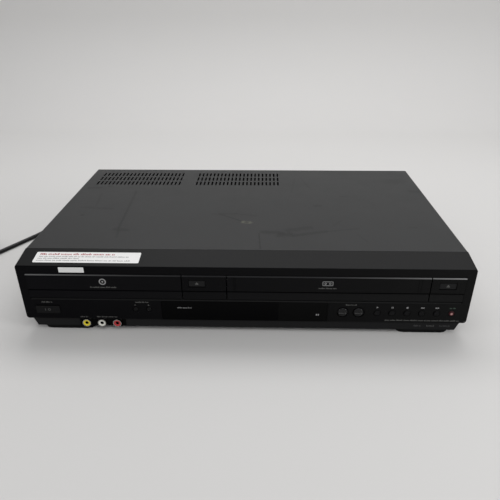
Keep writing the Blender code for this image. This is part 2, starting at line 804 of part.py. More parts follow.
def slope_height(y):
    """The height of the sloping top of the fascia at a depth."""
    return FRONT_TOP + COVER_RISE * (y - FRONT) / CREASE_DEPTH


def button_places():
    """Each button's name, middle, half width, half height or none if round, and proud of what."""
    face = FRONT - DOOR_PROUD
    eject = (EJECT_WIDTH / 2, EJECT_HEIGHT / 2)
    places = {
        "button_power": (
            (LEFT + POWER_INSET, POWER_Z),
            (POWER_WIDTH / 2, POWER_HEIGHT / 2),
            FRONT - BUTTON_PROUD,
        ),
        "button_disc_eject": (
            (DISC_PANEL_LEFT + DISC_EJECT_INSET + EJECT_WIDTH / 2, EJECT_Z),
            eject,
            face + PLAY,
        ),
        "button_tape_eject": (
            (TAPE_PANEL_LEFT + TAPE_EJECT_INSET + EJECT_WIDTH / 2, EJECT_Z),
            eject,
            face + PLAY,
        ),
        "button_tracking_minus": (
            (TRACKING_X - TRACKING_PITCH / 2, TRACKING_Z),
            TRACKING_RADIUS,
            FRONT - BUTTON_PROUD,
        ),
        "button_tracking_plus": (
            (TRACKING_X + TRACKING_PITCH / 2, TRACKING_Z),
            TRACKING_RADIUS,
            FRONT - BUTTON_PROUD,
        ),
        "button_select_disc": (
            (SELECT_X - SELECT_PITCH / 2, SELECT_Z),
            SELECT_RADIUS,
            FRONT,
        ),
        "button_select_tape": (
            (SELECT_X + SELECT_PITCH / 2, SELECT_Z),
            SELECT_RADIUS,
            FRONT,
        ),
    }
    names = ("record", "fast_forward", "rewind", "stop", "pause", "play")
    for i, name in enumerate(names):
        places["button_" + name] = (
            (RIGHT - TRANSPORT_INSET - i * TRANSPORT_PITCH, TRANSPORT_Z),
            RECORD_RADIUS if name == "record" else TRANSPORT_RADIUS,
            FRONT - BUTTON_PROUD,
        )
    return places


def front_jack_places():
    """The middles of the three front jacks."""
    first = LEFT + FRONT_JACK_INSET
    return [(first + i * JACK_PITCH, JACK_Z) for i in range(3)]


def rear_jack_places():
    """The middles of the rear jacks, row by row."""
    first = REAR_JACK_X - REAR_JACK_PITCH * (REAR_JACK_COLUMNS - 1) / 2
    return [
        (first + column * REAR_JACK_PITCH, REAR_JACK_RISE + row * REAR_JACK_PITCH)
        for row in range(REAR_JACK_ROWS)
        for column in range(REAR_JACK_COLUMNS)
    ]


def aerial_places():
    middle = TUNER_RISE + TUNER_SIZE[2] / 2
    return [
        (TUNER_X - AERIAL_PITCH / 2, middle),
        (TUNER_X + AERIAL_PITCH / 2, middle),
    ]


def board_peg_places():
    """Where the fascia's pegs meet the front board: between the buttons and beside the window."""
    buttons = button_places()
    clear = WINDOW_FLANGE + 2 * BOARD_PEG_RADIUS
    select = buttons["button_select_tape"][0][0]
    play = buttons["button_play"][0][0]
    power = buttons["button_power"][0][0]
    tracking = buttons["button_tracking_minus"][0][0]
    return [
        ((power + tracking) / 2, TRACKING_Z),
        (WINDOW_X[0] - clear, TRACKING_Z),
        ((select + SELECT_RADIUS + play - TRANSPORT_RADIUS) / 2, TRACKING_Z),
    ]


def front_fascia():
    """The moulded front: a shell open at the back and below, with the openings for the doors,
    the window, the buttons and the jacks, the two fixed panels and the strip below."""
    outline = (
        (FRONT, FASCIA_BOTTOM),
        (FRONT, FRONT_TOP),
        (CREASE, COVER_TOP),
        (CREASE, FASCIA_BOTTOM),
    )
    shell = prism("X", outline, LEFT, RIGHT)

    def lower_corner(a, b):
        return (
            abs(a.x - b.x) < FIT
            and max(a.z, b.z) < FASCIA_BOTTOM + FIT
            and abs(a.x) > RIGHT - FIT
        )

    def upper_corner(a, b):
        return (
            abs(a.x - b.x) < FIT and min(a.z, b.z) > FRONT_TOP - FIT and a.y != b.y
        )

    def front_rim(a, b):
        return max(a.y, b.y) < FRONT + FIT

    round_edges(shell, FASCIA_CORNER, CORNER_STEPS, lower_corner)
    round_edges(shell, COVER_BEND, CORNER_STEPS, upper_corner)
    round_edges(shell, FASCIA_EDGE, 2, front_rim)
    inner_top = slope_height(FASCIA_BACK) - FASCIA_WALL
    inner = (
        (FASCIA_BACK, FASCIA_BOTTOM - OVERRUN),
        (FASCIA_BACK, inner_top),
        (CREASE + OVERRUN, slope_height(CREASE + OVERRUN) - FASCIA_WALL),
        (CREASE + OVERRUN, FASCIA_BOTTOM - OVERRUN),
    )
    hollow = prism("X", inner, LEFT + FASCIA_WALL, RIGHT - FASCIA_WALL)
    through = (FRONT - OVERRUN, FASCIA_BACK + OVERRUN)
    doors = block((DOORS_LEFT, DOORS_RIGHT), through, (LEDGE, BROW_BOTTOM))
    ledge = (
        (FRONT - OVERRUN, LEDGE - LEDGE_CHAMFER - OVERRUN),
        (FRONT + LEDGE_CHAMFER + OVERRUN, LEDGE + OVERRUN),
        (FRONT - OVERRUN, LEDGE + OVERRUN),
    )
    chamfer = prism("X", ledge, DOORS_LEFT, DOORS_RIGHT)
    cut(shell, hollow, doors, chamfer)
    strip_top = FASCIA_BOTTOM + FASCIA_WALL
    strip = (
        (LEFT + STRIP_TOP_INSET, strip_top),
        (RIGHT - STRIP_TOP_INSET, strip_top),
        (RIGHT - STRIP_TOP_INSET, FASCIA_BOTTOM),
        (RIGHT - STRIP_BOTTOM_INSET, STRIP_BOTTOM),
        (LEFT + STRIP_BOTTOM_INSET, STRIP_BOTTOM),
        (LEFT + STRIP_TOP_INSET, FASCIA_BOTTOM),
    )
    lip_top = COVER_TOP - COVER_WALL - FIT
    extras = [
        prism("Y", strip, FRONT + STRIP_RECESS, STRIP_BACK),
        block(
            (LEFT + COVER_LIP_INSET, RIGHT - COVER_LIP_INSET),
            (CREASE - COVER_LIP_REACH, CREASE + COVER_LIP_REACH),
            (lip_top - FASCIA_WALL, lip_top),
        ),
    ]
    webs = (
        (DISC_PANEL_LEFT - WEB_REACH, DISC_PANEL_RIGHT - PLAY),
        (TAPE_PANEL_LEFT + PLAY, DOORS_RIGHT + WEB_REACH),
    )
    panels = (
        (DISC_PANEL_LEFT, DISC_PANEL_RIGHT),
        (TAPE_PANEL_LEFT, TAPE_PANEL_RIGHT),
    )
    for web, panel in zip(webs, panels):
        heights = (LEDGE - WEB_REACH, BROW_BOTTOM + WEB_REACH)
        extras.append(block(web, (FASCIA_BACK - LAP, WEB_BACK), heights))
        extras.append(prism("X", door_outline(FASCIA_BACK), *panel))
    for low in (FLAP_LEFT - FIT - LUG_WIDTH, FLAP_RIGHT + FIT):
        reach = (FASCIA_BACK - LAP, FLAP_HINGE_Y + LUG_REACH)
        heights = (FLAP_HINGE_Z - LUG_REACH, slope_height(FASCIA_BACK) - LAP)
        extras.append(block((low, low + LUG_WIDTH), reach, heights))
    for place in board_peg_places():
        extras.append(
            rod("Y", place, BOARD_PEG_RADIUS, FASCIA_BACK - LAP, BOARD_FACE - FIT)
        )
    join(shell, *extras)
    holes = []
    deep = (FRONT - DOOR_PROUD - OVERRUN, WEB_BACK + OVERRUN)
    for place in button_places().values():
        middle, size = place[:2]
        if isinstance(size, tuple):
            wide = around(middle[0], size[0] + BUTTON_GAP)
            high = around(middle[1], size[1] + BUTTON_GAP)
            holes.append(block(wide, deep, high))
        else:
            holes.append(rod("Y", middle, size + BUTTON_GAP, *deep, BUTTON_SIDES))
    holes.append(
        block(
            (WINDOW_X[0] - FIT, WINDOW_X[1] + FIT),
            (FRONT - OVERRUN, WEB_BACK + WEB_REACH),
            (WINDOW_Z[0] - FIT, WINDOW_Z[1] + FIT),
        )
    )
    jacks = front_jack_places()
    plate = JACK_PLATE_RIM + STRIP_HEIGHT / 2
    ends = (jacks[0][0] - plate - LAP, jacks[-1][0] + plate + LAP)
    stadium = rounded(ends, around(JACK_Z, plate), plate - LAP)
    holes.append(prism("Y", stadium, FRONT + OVERRUN, JACK_FACE + STRIP_WALL))
    shell = cut(shell, together(holes))
    pins = [
        rod(
            "X",
            (FLAP_HINGE_Y, FLAP_HINGE_Z),
            FLAP_PIN_RADIUS + FIT,
            low - LUG_WIDTH - OVERRUN,
            low + LUG_WIDTH + OVERRUN,
        )
        for low in (FLAP_LEFT - FIT - LUG_WIDTH / 2, FLAP_RIGHT + FIT + LUG_WIDTH / 2)
    ]
    cut(shell, together(pins))
    finish(shell, "front_fascia", BLACK_PLASTIC)


def display_window():
    """The smoked window, which fills its opening and is held behind the wall at both ends."""
    back = FASCIA_BACK + FIT
    pane = block(WINDOW_X, (FRONT + PLAY / 2, back + LAP), WINDOW_Z)
    flange = block(
        (WINDOW_X[0] - WINDOW_FLANGE, WINDOW_X[1] + WINDOW_FLANGE),
        (back, back + WINDOW_WALL / 2),
        (WINDOW_Z[0] + FASCIA_WALL, WINDOW_Z[1]),
    )
    finish(join(pane, flange), "display_window", SMOKED_WINDOW)


def display_tube():
    """The glass display tube behind the window, with its sealed-off tip."""
    back = BOARD_FACE - TUBE_GAP / 2
    x = (WINDOW_X[0] + TUBE_END_INSET, WINDOW_X[1] - TUBE_END_INSET)
    z = (WINDOW_Z[0] + TUBE_EDGE_INSET, WINDOW_Z[1] - TUBE_EDGE_INSET)
    tube = block(x, (back - TUBE_DEPTH + FIT, back), z)
    tip = rod(
        "X",
        (back - TUBE_DEPTH / 2, (z[0] + z[1]) / 2),
        TUBE_TIP_SHARE * TUBE_DEPTH,
        x[1] - LAP,
        x[1] + TUBE_DEPTH / 2,
    )
    finish(join(tube, tip), "display_tube", TUBE_GLASS)


def front_board():
    """The upright board behind the front, with a switch behind each lower button."""
    bottom = FASCIA_BOTTOM + FASCIA_WALL
    board = block(
        (LEFT + BOARD_MARGIN, RIGHT - BOARD_MARGIN),
        (BOARD_FACE, BOARD_FACE + BOARD_WALL),
        (bottom, LEDGE - PLAY),
    )
    switches = []
    front = WEB_BACK + BUTTON_FLANGE + FIT + SWITCH_GAP
    for place in button_places().values():
        x, z = place[0]
        if z < LEDGE:
            x = around(x, SWITCH_SIDE / 2)
            z = around(z, SWITCH_SIDE / 2)
            switches.append(block(x, (front, BOARD_FACE + LAP), z))
    finish(join(board, *switches), "front_board", BOARD_TAN)


def buttons():
    """The buttons: a cap in its hole, and a wider flange behind the wall that keeps it in."""
    for name, (middle, size, front) in button_places().items():
        in_web = middle[1] > LEDGE
        wall = (WEB_BACK if in_web else FASCIA_BACK) + FIT
        flange = (wall, wall + BUTTON_FLANGE)
        stem_end = WEB_BACK + BUTTON_FLANGE + FIT
        stem = rod("Y", middle, BUTTON_STEM_RADIUS, wall, stem_end + PLAY / 2)
        if isinstance(size, tuple):
            outline = rounded(
                around(middle[0], size[0]), around(middle[1], size[1]), BUTTON_CORNER
            )
            cap = prism("Y", outline, front, wall + LAP)
            back = block(
                around(middle[0], size[0] + BUTTON_FLANGE_REACH),
                flange,
                around(middle[1], size[1] + BUTTON_FLANGE_REACH / 2),
            )
        elif size == SELECT_RADIUS:
            profile = [
                (front + deep * SELECT_DOME, wide * size)
                for deep, wide in SELECT_DOME_SHARES
            ]
            cap = turned("Y", middle, (*profile, (wall + LAP, size)), BUTTON_SIDES)
            back = rod("Y", middle, size + BUTTON_FLANGE_REACH, *flange, BUTTON_SIDES)
        else:
            profile = (
                (front, size - BUTTON_CORNER),
                (front + BUTTON_CORNER, size),
                (wall + LAP, size),
            )
            cap = turned("Y", middle, profile, BUTTON_SIDES)
            back = rod("Y", middle, size + BUTTON_FLANGE_REACH, *flange, BUTTON_SIDES)
        look = RECORD_RED if name == "button_record" else DARK_PLASTIC
        pivot = (middle[0], wall, middle[1])
        finish(join(cap, back, stem), name, look, pivot=pivot)


def tray_door():
    """The front of the disc tray, held to the tray behind it."""
    door = prism(
        "X", door_outline(FRONT + DOOR_BACK), TRAY_DOOR_LEFT, TRAY_DOOR_RIGHT
    )
    finish(door, "tray_door", BLACK_PLASTIC, holder=bpy.data.objects["disc_tray"])


def rack_outline(root, low, high):
    """The tray's rack seen from above: teeth toward the gear, and a straight back."""
    pitch = math.pi * GEAR_MODULE
    lean = math.tan(GEAR_PRESSURE_ANGLE)
    tip = GEAR_MODULE * GEAR_ADDENDUM_SHARE
    deep = GEAR_MODULE * GEAR_DEDENDUM_SHARE
    half = pitch * RACK_TOOTH_SHARE - GEAR_BACKLASH / 2
    outline = [(root + deep + RACK_BACK, low)]
    first = math.ceil((low - GEAR_Y) / pitch)
    last = math.floor((high - GEAR_Y) / pitch)
    for i in range(first, last):
        middle = GEAR_Y + (2 * i + 1) * pitch / 2
        outline.append((root + deep, middle - half - deep * lean))
        outline.append((root - tip, middle - half + tip * lean))
        outline.append((root - tip, middle + half - tip * lean))
        outline.append((root + deep, middle + half + deep * lean))
    outline.append((root + deep + RACK_BACK, high))
    return outline


def disc_tray():
    """The disc tray: a rim round two disc wells, a slot from the middle to the back for the
    turntable, and the rack under its right edge."""
    sides = around(LOADER_X, TRAY_WIDTH / 2)
    outline = rounded(sides, (TRAY_FRONT, TRAY_BACK), TRAY_CORNER)
    tray = prism("Z", outline, TRAY_BOTTOM, TRAY_TOP)
    hub = (LOADER_X, HUB_Y)
    over = TRAY_TOP + OVERRUN
    well = rod("Z", hub, DISC_RADIUS + DISC_MARGIN, WELL_FLOOR, over, FINE_SIDES)
    small_floor = WELL_FLOOR - SMALL_WELL_DEPTH
    small = rod("Z", hub, SMALL_DISC_RADIUS, small_floor, over, FINE_SIDES)
    slot = rounded(
        around(LOADER_X, TRAY_SLOT_WIDTH / 2),
        (HUB_Y - TRAY_SLOT_WIDTH / 2, TRAY_BACK + TRAY_SLOT_WIDTH),
        TRAY_SLOT_WIDTH / 2 - LAP,
    )
    notch = prism("Z", slot, TRAY_BOTTOM - OVERRUN, over)
    cut(tray, well, small, notch)
    ends = (TRAY_FRONT + TRAY_CORNER, TRAY_BACK - TRAY_CORNER)
    outline = rack_outline(RACK_X, *ends)
    rack = prism("Z", outline, GEAR_BOTTOM, TRAY_BOTTOM + LAP)
    finish(join(tray, rack), "disc_tray", DARK_PLASTIC, pivot=(LOADER_X, HUB_Y, TRAY_BOTTOM))


def gear_outline():
    """The driving gear's outline, with involute flanks, and one tooth pointing along +X."""
    base = GEAR_RADIUS * math.cos(GEAR_PRESSURE_ANGLE)
    root = GEAR_RADIUS - GEAR_MODULE * GEAR_DEDENDUM_SHARE
    tip = GEAR_RADIUS + GEAR_MODULE * GEAR_ADDENDUM_SHARE
    start = max(base, root)

    def half_angle(radius):
        lean = math.acos(base / radius)
        pitch_lean = GEAR_PRESSURE_ANGLE
        half = math.pi / (2 * GEAR_TEETH) - GEAR_BACKLASH / (2 * GEAR_RADIUS)
        return half + (math.tan(pitch_lean) - pitch_lean) - (math.tan(lean) - lean)

    radii = [start + share * (tip - start) for share in FLANK_SHARES]
    flank = [(root, half_angle(start))] + [(r, half_angle(r)) for r in radii]
    outline = []
    for tooth in range(GEAR_TEETH):
        middle = 2 * math.pi * tooth / GEAR_TEETH
        for side, steps in ((-1, flank), (1, reversed(flank))):
            for radius, half in steps:
                angle = middle + side * half
                outline.append(
                    (
                        GEAR_X + radius * math.cos(angle),
                        GEAR_Y + radius * math.sin(angle),
                    )
                )
    return outline


def tray_gear():
    """The gear that drives the rack, on one hub with the belt pulley below it."""
    middle = (GEAR_X, GEAR_Y)
    bottom = LOADER_BOTTOM + LOADER_FLOOR + FIT
    gear = prism("Z", gear_outline(), GEAR_BOTTOM, GEAR_TOP)
    hub = rod("Z", middle, GEAR_HUB_RADIUS, bottom, GEAR_BOTTOM + LAP, ROUND_SIDES)
    pulley = rod(
        "Z",
        middle,
        PULLEY_RADIUS,
        bottom + PULLEY_THICK,
        bottom + 2 * PULLEY_THICK,
        ROUND_SIDES,
    )
    join(gear, hub, pulley)
    bore = rod("Z", middle, GEAR_PIN_RADIUS + FIT, bottom - OVERRUN, GEAR_TOP + OVERRUN)
    finish(cut(gear, bore), "tray_gear", WHITE_PLASTIC, pivot=(*middle, GEAR_BOTTOM))


def loader_frame():
    """The frame that the tray slides in: a floor with a window, two walls with rails and upper
    guides, the gear's pin and the traverse's hinge lugs."""
    depth = (LOADER_FRONT, LOADER_BACK)
    floor_top = LOADER_BOTTOM + LOADER_FLOOR
    floor = block(
        around(LOADER_X, LOADER_OUTER + LOADER_FLANGE), depth, (LOADER_BOTTOM, floor_top)
    )
    window_front = LOADER_FRONT + FLOOR_WINDOW_INSET
    window = block(
        around(LOADER_X, FLOOR_WINDOW_WIDTH / 2),
        (window_front, window_front + FLOOR_WINDOW_LENGTH),
        (LOADER_BOTTOM - OVERRUN, floor_top + OVERRUN),
    )
    cut(floor, window)
    lug_end = FLOOR_WINDOW_WIDTH / 2 + HINGE_LUG_WIDTH
    extras = []
    for side in (-1, 1):
        wall = sorted(LOADER_X + side * place for place in (LOADER_INNER, LOADER_OUTER))
        rail = sorted(
            LOADER_X + side * place
            for place in (LOADER_INNER - RAIL_REACH, LOADER_INNER + LAP)
        )
        guide = sorted(
            LOADER_X + side * place
            for place in (LOADER_INNER - RAIL_REACH / 2, LOADER_INNER + LAP)
        )
        extras.append(block(wall, depth, (floor_top - LAP, LOADER_TOP)))
        extras.append(block(rail, depth, (RAIL_TOP - RAIL_THICK, RAIL_TOP)))
        guide_bottom = TRAY_TOP + FIT
        extras.append(
            block(
                guide,
                (LOADER_FRONT, LOADER_FRONT + GUIDE_LENGTH),
                (guide_bottom, guide_bottom + GUIDE_THICK),
            )
        )
        lug = sorted(
            LOADER_X + side * place for place in (TRAVERSE_WIDTH / 2 + FIT, lug_end)
        )
        extras.append(
            block(
                lug,
                around(HINGE_Y, HINGE_LUG_RADIUS),
                (LOADER_BOTTOM, HINGE_Z + HINGE_LUG_RADIUS),
            )
        )
    pin_top = GEAR_TOP - PLAY
    extras.append(
        rod("Z", (GEAR_X, GEAR_Y), GEAR_PIN_RADIUS, floor_top - LAP, pin_top)
    )
    join(floor, *extras)
    reach = around(LOADER_X, lug_end + OVERRUN)
    bore = rod("X", (HINGE_Y, HINGE_Z), HINGE_PIN_RADIUS + FIT, *reach)
    finish(cut(floor, bore), "loader_frame", DARK_PLASTIC)


def clamp_bridge():
    """The steel strip across the loader that carries the clamp."""
    strip = block(
        around(LOADER_X, LOADER_OUTER),
        around(HUB_Y, BRIDGE_DEPTH / 2),
        (BRIDGE_BOTTOM, BRIDGE_TOP),
    )
    hole = rod(
        "Z",
        (LOADER_X, HUB_Y),
        CLAMP_RADIUS + CLAMP_HOLE_GAP,
        BRIDGE_BOTTOM - OVERRUN,
        BRIDGE_TOP + OVERRUN,
        ROUND_SIDES,
    )
    finish(cut(strip, hole), "clamp_bridge", BARE_STEEL)


def disc_clamp():
    """The clamp, which hangs by its flange in the bridge and turns with the disc."""
    flange = BRIDGE_TOP + FIT
    profile = (
        (BRIDGE_BOTTOM - CLAMP_DROP, CLAMP_RADIUS),
        (flange, CLAMP_RADIUS),
        (flange, CLAMP_FLANGE_RADIUS),
        (flange + CLAMP_FLANGE_THICK, CLAMP_FLANGE_RADIUS),
        (flange + CLAMP_FLANGE_THICK, CLAMP_RADIUS / 2),
        (flange + 2 * CLAMP_FLANGE_THICK, CLAMP_RADIUS / 2),
    )
    clamp = turned("Z", (LOADER_X, HUB_Y), profile, ROUND_SIDES)
    finish(clamp, "disc_clamp", WHITE_PLASTIC, pivot=(LOADER_X, HUB_Y, BRIDGE_TOP))


def lowered(shape):
    """A piece of the traverse, drawn level, as it lies with the traverse lowered."""
    return turn(shape, (LOADER_X, HINGE_Y, HINGE_Z), "X", TRAVERSE_LOWERED)


def lowered_place(point):
    middle = Vector((LOADER_X, HINGE_Y, HINGE_Z))
    return middle + Matrix.Rotation(TRAVERSE_LOWERED, 3, "X") @ (Vector(point) - middle)


def loader_traverse():
    """The hinged plate with the turntable's motor in front and the pickup's two rods."""
    plate_top = HINGE_Z + TRAVERSE_WALL / 2
    plate_bottom = HINGE_Z - TRAVERSE_WALL / 2
    plate = block(
        around(LOADER_X, TRAVERSE_WIDTH / 2),
        (HUB_Y - TRAVERSE_NOSE, HINGE_Y + TRAVERSE_TAIL),
        (plate_bottom, plate_top),
    )
    window = block(
        around(LOADER_X, SLED_WINDOW_WIDTH / 2),
        (HUB_Y + SLED_WINDOW_START, HUB_Y + SLED_WINDOW_END),
        (plate_bottom - OVERRUN, plate_top + OVERRUN),
    )
    cut(plate, window)
    rod_z = plate_top + ROD_RISE
    rod_ends = (
        HUB_Y + SLED_WINDOW_START - ROD_END,
        HUB_Y + SLED_WINDOW_END + ROD_END / 2,
    )
    pin_ends = around(LOADER_X, TRAVERSE_WIDTH / 2 + HINGE_LUG_WIDTH + FIT)
    extras = [rod("X", (HINGE_Y, HINGE_Z), HINGE_PIN_RADIUS, *pin_ends)]
    hub = (LOADER_X, HUB_Y)
    extras.append(
        rod("Z", hub, MOTOR_RADIUS, plate_bottom - MOTOR_THICK, plate_bottom + LAP, ROUND_SIDES)
    )
    for side in (-1, 1):
        x = LOADER_X + side * ROD_SHIFT
        extras.append(rod("Y", (x, rod_z), ROD_RADIUS, *rod_ends))
        for end in rod_ends:
            extras.append(
                block(
                    around(x, ROD_RADIUS + OVERRUN),
                    around(end, ROD_END_SHARE * ROD_END),
                    (plate_top - LAP, rod_z + ROD_RADIUS + LAP),
                )
            )
    join(plate, *extras)
    bore = rod("Z", hub, SPINDLE_RADIUS + FIT, plate_top - SPINDLE_LENGTH, plate_top + OVERRUN)
    cut(plate, bore)
    pivot = (LOADER_X, HINGE_Y, HINGE_Z)
    finish(lowered(plate), "loader_traverse", GREY_PLASTIC, pivot=pivot)


def disc_turntable():
    """The turntable: its spindle, the motor's rotor, the platter and the centring cone."""
    plate_top = HINGE_Z + TRAVERSE_WALL / 2
    platter = WELL_FLOOR + PLATTER_UP
    rotor = plate_top + FIT
    profile = (
        (plate_top - SPINDLE_LENGTH + FIT, SPINDLE_RADIUS),
        (rotor, SPINDLE_RADIUS),
        (rotor, ROTOR_RADIUS),
        (rotor + ROTOR_THICK, ROTOR_RADIUS),
        (rotor + ROTOR_THICK, COLUMN_RADIUS),
        (platter - PLATTER_THICK, COLUMN_RADIUS),
        (platter - PLATTER_THICK, PLATTER_RADIUS),
        (platter, PLATTER_RADIUS),
        (platter, CONE_RADIUS),
        (platter + CONE_HEIGHT, CONE_TIP_RADIUS),
    )
    table = turned("Z", (LOADER_X, HUB_Y), profile, ROUND_SIDES)
    finish(
        lowered(table),
        "disc_turntable",
        DARK_PLASTIC,
        pivot=lowered_place((LOADER_X, HUB_Y, plate_top)),
        holder=bpy.data.objects["loader_traverse"],
    )


def optical_pickup():
    """The pickup: its block between the rods, an arm over each rod, and the lens."""
    plate_top = HINGE_Z + TRAVERSE_WALL / 2
    rod_z = plate_top + ROD_RISE
    middle = HUB_Y + SLED_START + SLED_LENGTH / 2
    bottom = plate_top - TRAVERSE_WALL / 2
    y = around(middle, SLED_LENGTH / 2)
    body = block(around(LOADER_X, SLED_WIDTH / 2), y, (bottom, bottom + SLED_THICK))
    arms = block(
        around(LOADER_X, ROD_SHIFT + SLED_ARM_THICK),
        around(middle, ARM_LENGTH_SHARE * SLED_LENGTH / 2),
        (plate_top + PLAY, rod_z + SLED_ARM_THICK),
    )
    profile = [
        (bottom + SLED_THICK + high * LENS_RISE, wide * LENS_RADIUS)
        for high, wide in LENS_SHARES
    ]
    lens_place = (LOADER_X, y[0] + LENS_PLACE_SHARE * SLED_LENGTH)
    lens = turned("Z", lens_place, profile, ROUND_SIDES)
    join(body, arms, lens)
    bores = [
        rod(
            "Y",
            (LOADER_X + side * ROD_SHIFT, rod_z),
            ROD_RADIUS + FIT,
            y[0] - OVERRUN,
            y[1] + OVERRUN,
        )
        for side in (-1, 1)
    ]
    finish(
        lowered(cut(body, *bores)),
        "optical_pickup",
        DULL_STEEL,
        pivot=lowered_place((LOADER_X, middle, rod_z)),
        holder=bpy.data.objects["loader_traverse"],
    )


def deck_posts():
    """Where the tape deck stands on the bottom."""
    x = DECK_HALF_WIDTH - DECK_POST_INSET
    ends = (DECK_Y[0] + DECK_POST_INSET, DECK_Y[1] - DECK_POST_INSET)
    return [(DECK_X + side * x, y) for side in (-1, 1) for y in ends]


def loader_posts():
    """Where the disc loader stands on the bottom."""
    x = LOADER_OUTER + LOADER_FLANGE - POST_RADIUS
    ends = (LOADER_FRONT + POST_RADIUS, LOADER_BACK - POST_RADIUS)
    return [(LOADER_X + side * x, y) for side in (-1, 1) for y in ends]


def power_board_stretch():
    """The power board's low and high place on X and Y."""
    left = LEFT + COVER_WALL + BOARD_MARGIN
    back = PANEL_FRONT - BOARD_MARGIN
    return (left, left + POWER_BOARD_WIDTH), (back - POWER_BOARD_DEPTH, back)


def main_board_stretch():
    """The main board's low and high place on X and Y."""
    left = LOADER_X + LOADER_OUTER + LOADER_FLANGE + BOARD_MARGIN
    front = BOARD_FACE + BOARD_WALL + BOARD_MARGIN
    back = PANEL_FRONT - REAR_JACK_DEPTH - FIT
    return (left, RIGHT - 2 * BOARD_MARGIN), (front, back)


def bottom_chassis():
    """The steel bottom with its side flanges and the posts for the deck, loader and boards."""
    depth = (STRIP_BACK + CHASSIS_GAP, PANEL_FRONT - FIT)
    narrow = BODY_WIDTH / 2 - STRIP_BOTTOM_INSET - CHASSIS_GAP
    outline = (
        (-narrow, depth[0]),
        (narrow, depth[0]),
        (narrow, CREASE),
        (FLANGE_SHIFT, CREASE + PLAY),
        (FLANGE_SHIFT, depth[1]),
        (-FLANGE_SHIFT, depth[1]),
        (-FLANGE_SHIFT, CREASE + PLAY),
        (-narrow, CREASE),
    )
    plate = prism("Z", outline, CHASSIS_BOTTOM, CHASSIS_TOP)
    extras = []
    for side in (-1, 1):
        flange = sorted(side * place for place in (FLANGE_SHIFT, FLANGE_SHIFT - CHASSIS_WALL))
        extras.append(
            block(
                flange,
                (CREASE + PLAY, depth[1]),
                (CHASSIS_BOTTOM, CHASSIS_BOTTOM + FLANGE_HEIGHT),
            )
        )
    ends = front_jack_stretch()
    notch = block(
        (ends[0] - PLAY, ends[1] + PLAY),
        (FRONT, JACK_BLOCK_BACK + GROUND_PLATE + CHASSIS_GAP),
        (CHASSIS_BOTTOM - OVERRUN, CHASSIS_TOP + OVERRUN),
    )
    cut(plate, notch)
    foot = CHASSIS_TOP - LAP
    for place in deck_posts():
        profile = (
            (foot, POST_RADIUS),
            (BOARD_BOTTOM - FIT, POST_RADIUS),
            (BOARD_BOTTOM - FIT, POST_NECK),
            (DECK_RISE - FIT, POST_NECK),
        )
        extras.append(turned("Z", place, profile, SMALL_SIDES))
    for place in loader_posts():
        extras.append(rod("Z", place, POST_RADIUS, foot, LOADER_BOTTOM - FIT))
    wide, deep = power_board_stretch()
    for x in (wide[0] + POST_RADIUS, wide[1] - POST_RADIUS):
        for y in (deep[0] + POST_RADIUS, deep[1] - POST_RADIUS):
            extras.append(rod("Z", (x, y), POST_NECK, foot, BOARD_BOTTOM - FIT))
    tuner_x = around(TUNER_X, TUNER_POST_SHARE * TUNER_SIZE[0])
    tuner_y = PANEL_FRONT - TUNER_SIZE[1] / 2
    for x in tuner_x:
        extras.append(rod("Z", (x, tuner_y), POST_NECK, foot, TUNER_RISE - FIT))
    finish(join(plate, *extras), "bottom_chassis", DULL_STEEL)


def main_board():
    """The main board, with holes for the deck's posts and its largest chips."""
    wide, deep = main_board_stretch()
    board = block(wide, deep, (BOARD_BOTTOM, BOARD_TOP))
    size = (wide[1] - wide[0], deep[1] - deep[0])
    chips = []
    for chip, share in zip(CHIP_SIZES, CHIP_PLACE_SHARES):
        middle = (wide[0] + share[0] * size[0], deep[0] + share[1] * size[1])
        x = around(middle[0], chip[0] / 2)
        y = around(middle[1], chip[1] / 2)
        chips.append(block(x, y, (BOARD_TOP - LAP, BOARD_TOP + chip[2])))
    join(board, *chips)
    gap = POST_NECK + BOARD_HOLE_GAP
    reach = (BOARD_BOTTOM - OVERRUN, BOARD_TOP + OVERRUN)
    holes = [rod("Z", place, gap, *reach) for place in deck_posts()]
    finish(cut(board, together(holes)), "main_board", BOARD_GREEN)


def power_board():
    """The power board on four posts, with its main capacitor and its transformer: a core with
    the winding's tape round it."""
    wide, deep = power_board_stretch()
    board = block(wide, deep, (BOARD_BOTTOM, BOARD_TOP))
    can = rod(
        "Z",
        (wide[1] - 2 * CAPACITOR_RADIUS, deep[0] + 2 * CAPACITOR_RADIUS),
        CAPACITOR_RADIUS,
        BOARD_TOP - LAP,
        BOARD_TOP + CAPACITOR_HEIGHT,
        ROUND_SIDES,
    )
    x, y, z = TRANSFORMER_SIZE
    middle = (wide[0] + x, (deep[0] + deep[1]) / 2)
    core = block(
        around(middle[0], x / 2),
        around(middle[1], y / 2),
        (BOARD_TOP - LAP, BOARD_TOP + z),
    )
    tape = block(
        around(middle[0], TRANSFORMER_TAPE_SHARE * x),
        around(middle[1], y / 2 + TRANSFORMER_TAPE),
        (BOARD_TOP + TRANSFORMER_TAPE, BOARD_TOP + z - TRANSFORMER_TAPE),
    )
    finish(join(board, can, core, tape), "power_board", BOARD_TAN)


def rubber_feet():
    """Four rubber feet, each a bar with round ends."""
    rows = (("front", FRONT + FOOT_FRONT_INSET), ("rear", REAR - FOOT_REAR_INSET))
    for side, hand in ((-1, "left"), (1, "right")):
        for row, y in rows:
            outline = rounded(
                around(side * FOOT_X, FOOT_LENGTH / 2),
                around(y, FOOT_WIDTH / 2),
                FOOT_WIDTH / 2 - LAP,
            )
            foot = prism("Z", outline, 0, FOOT_HEIGHT)
            finish(foot, "foot_" + row + "_" + hand, RUBBER)


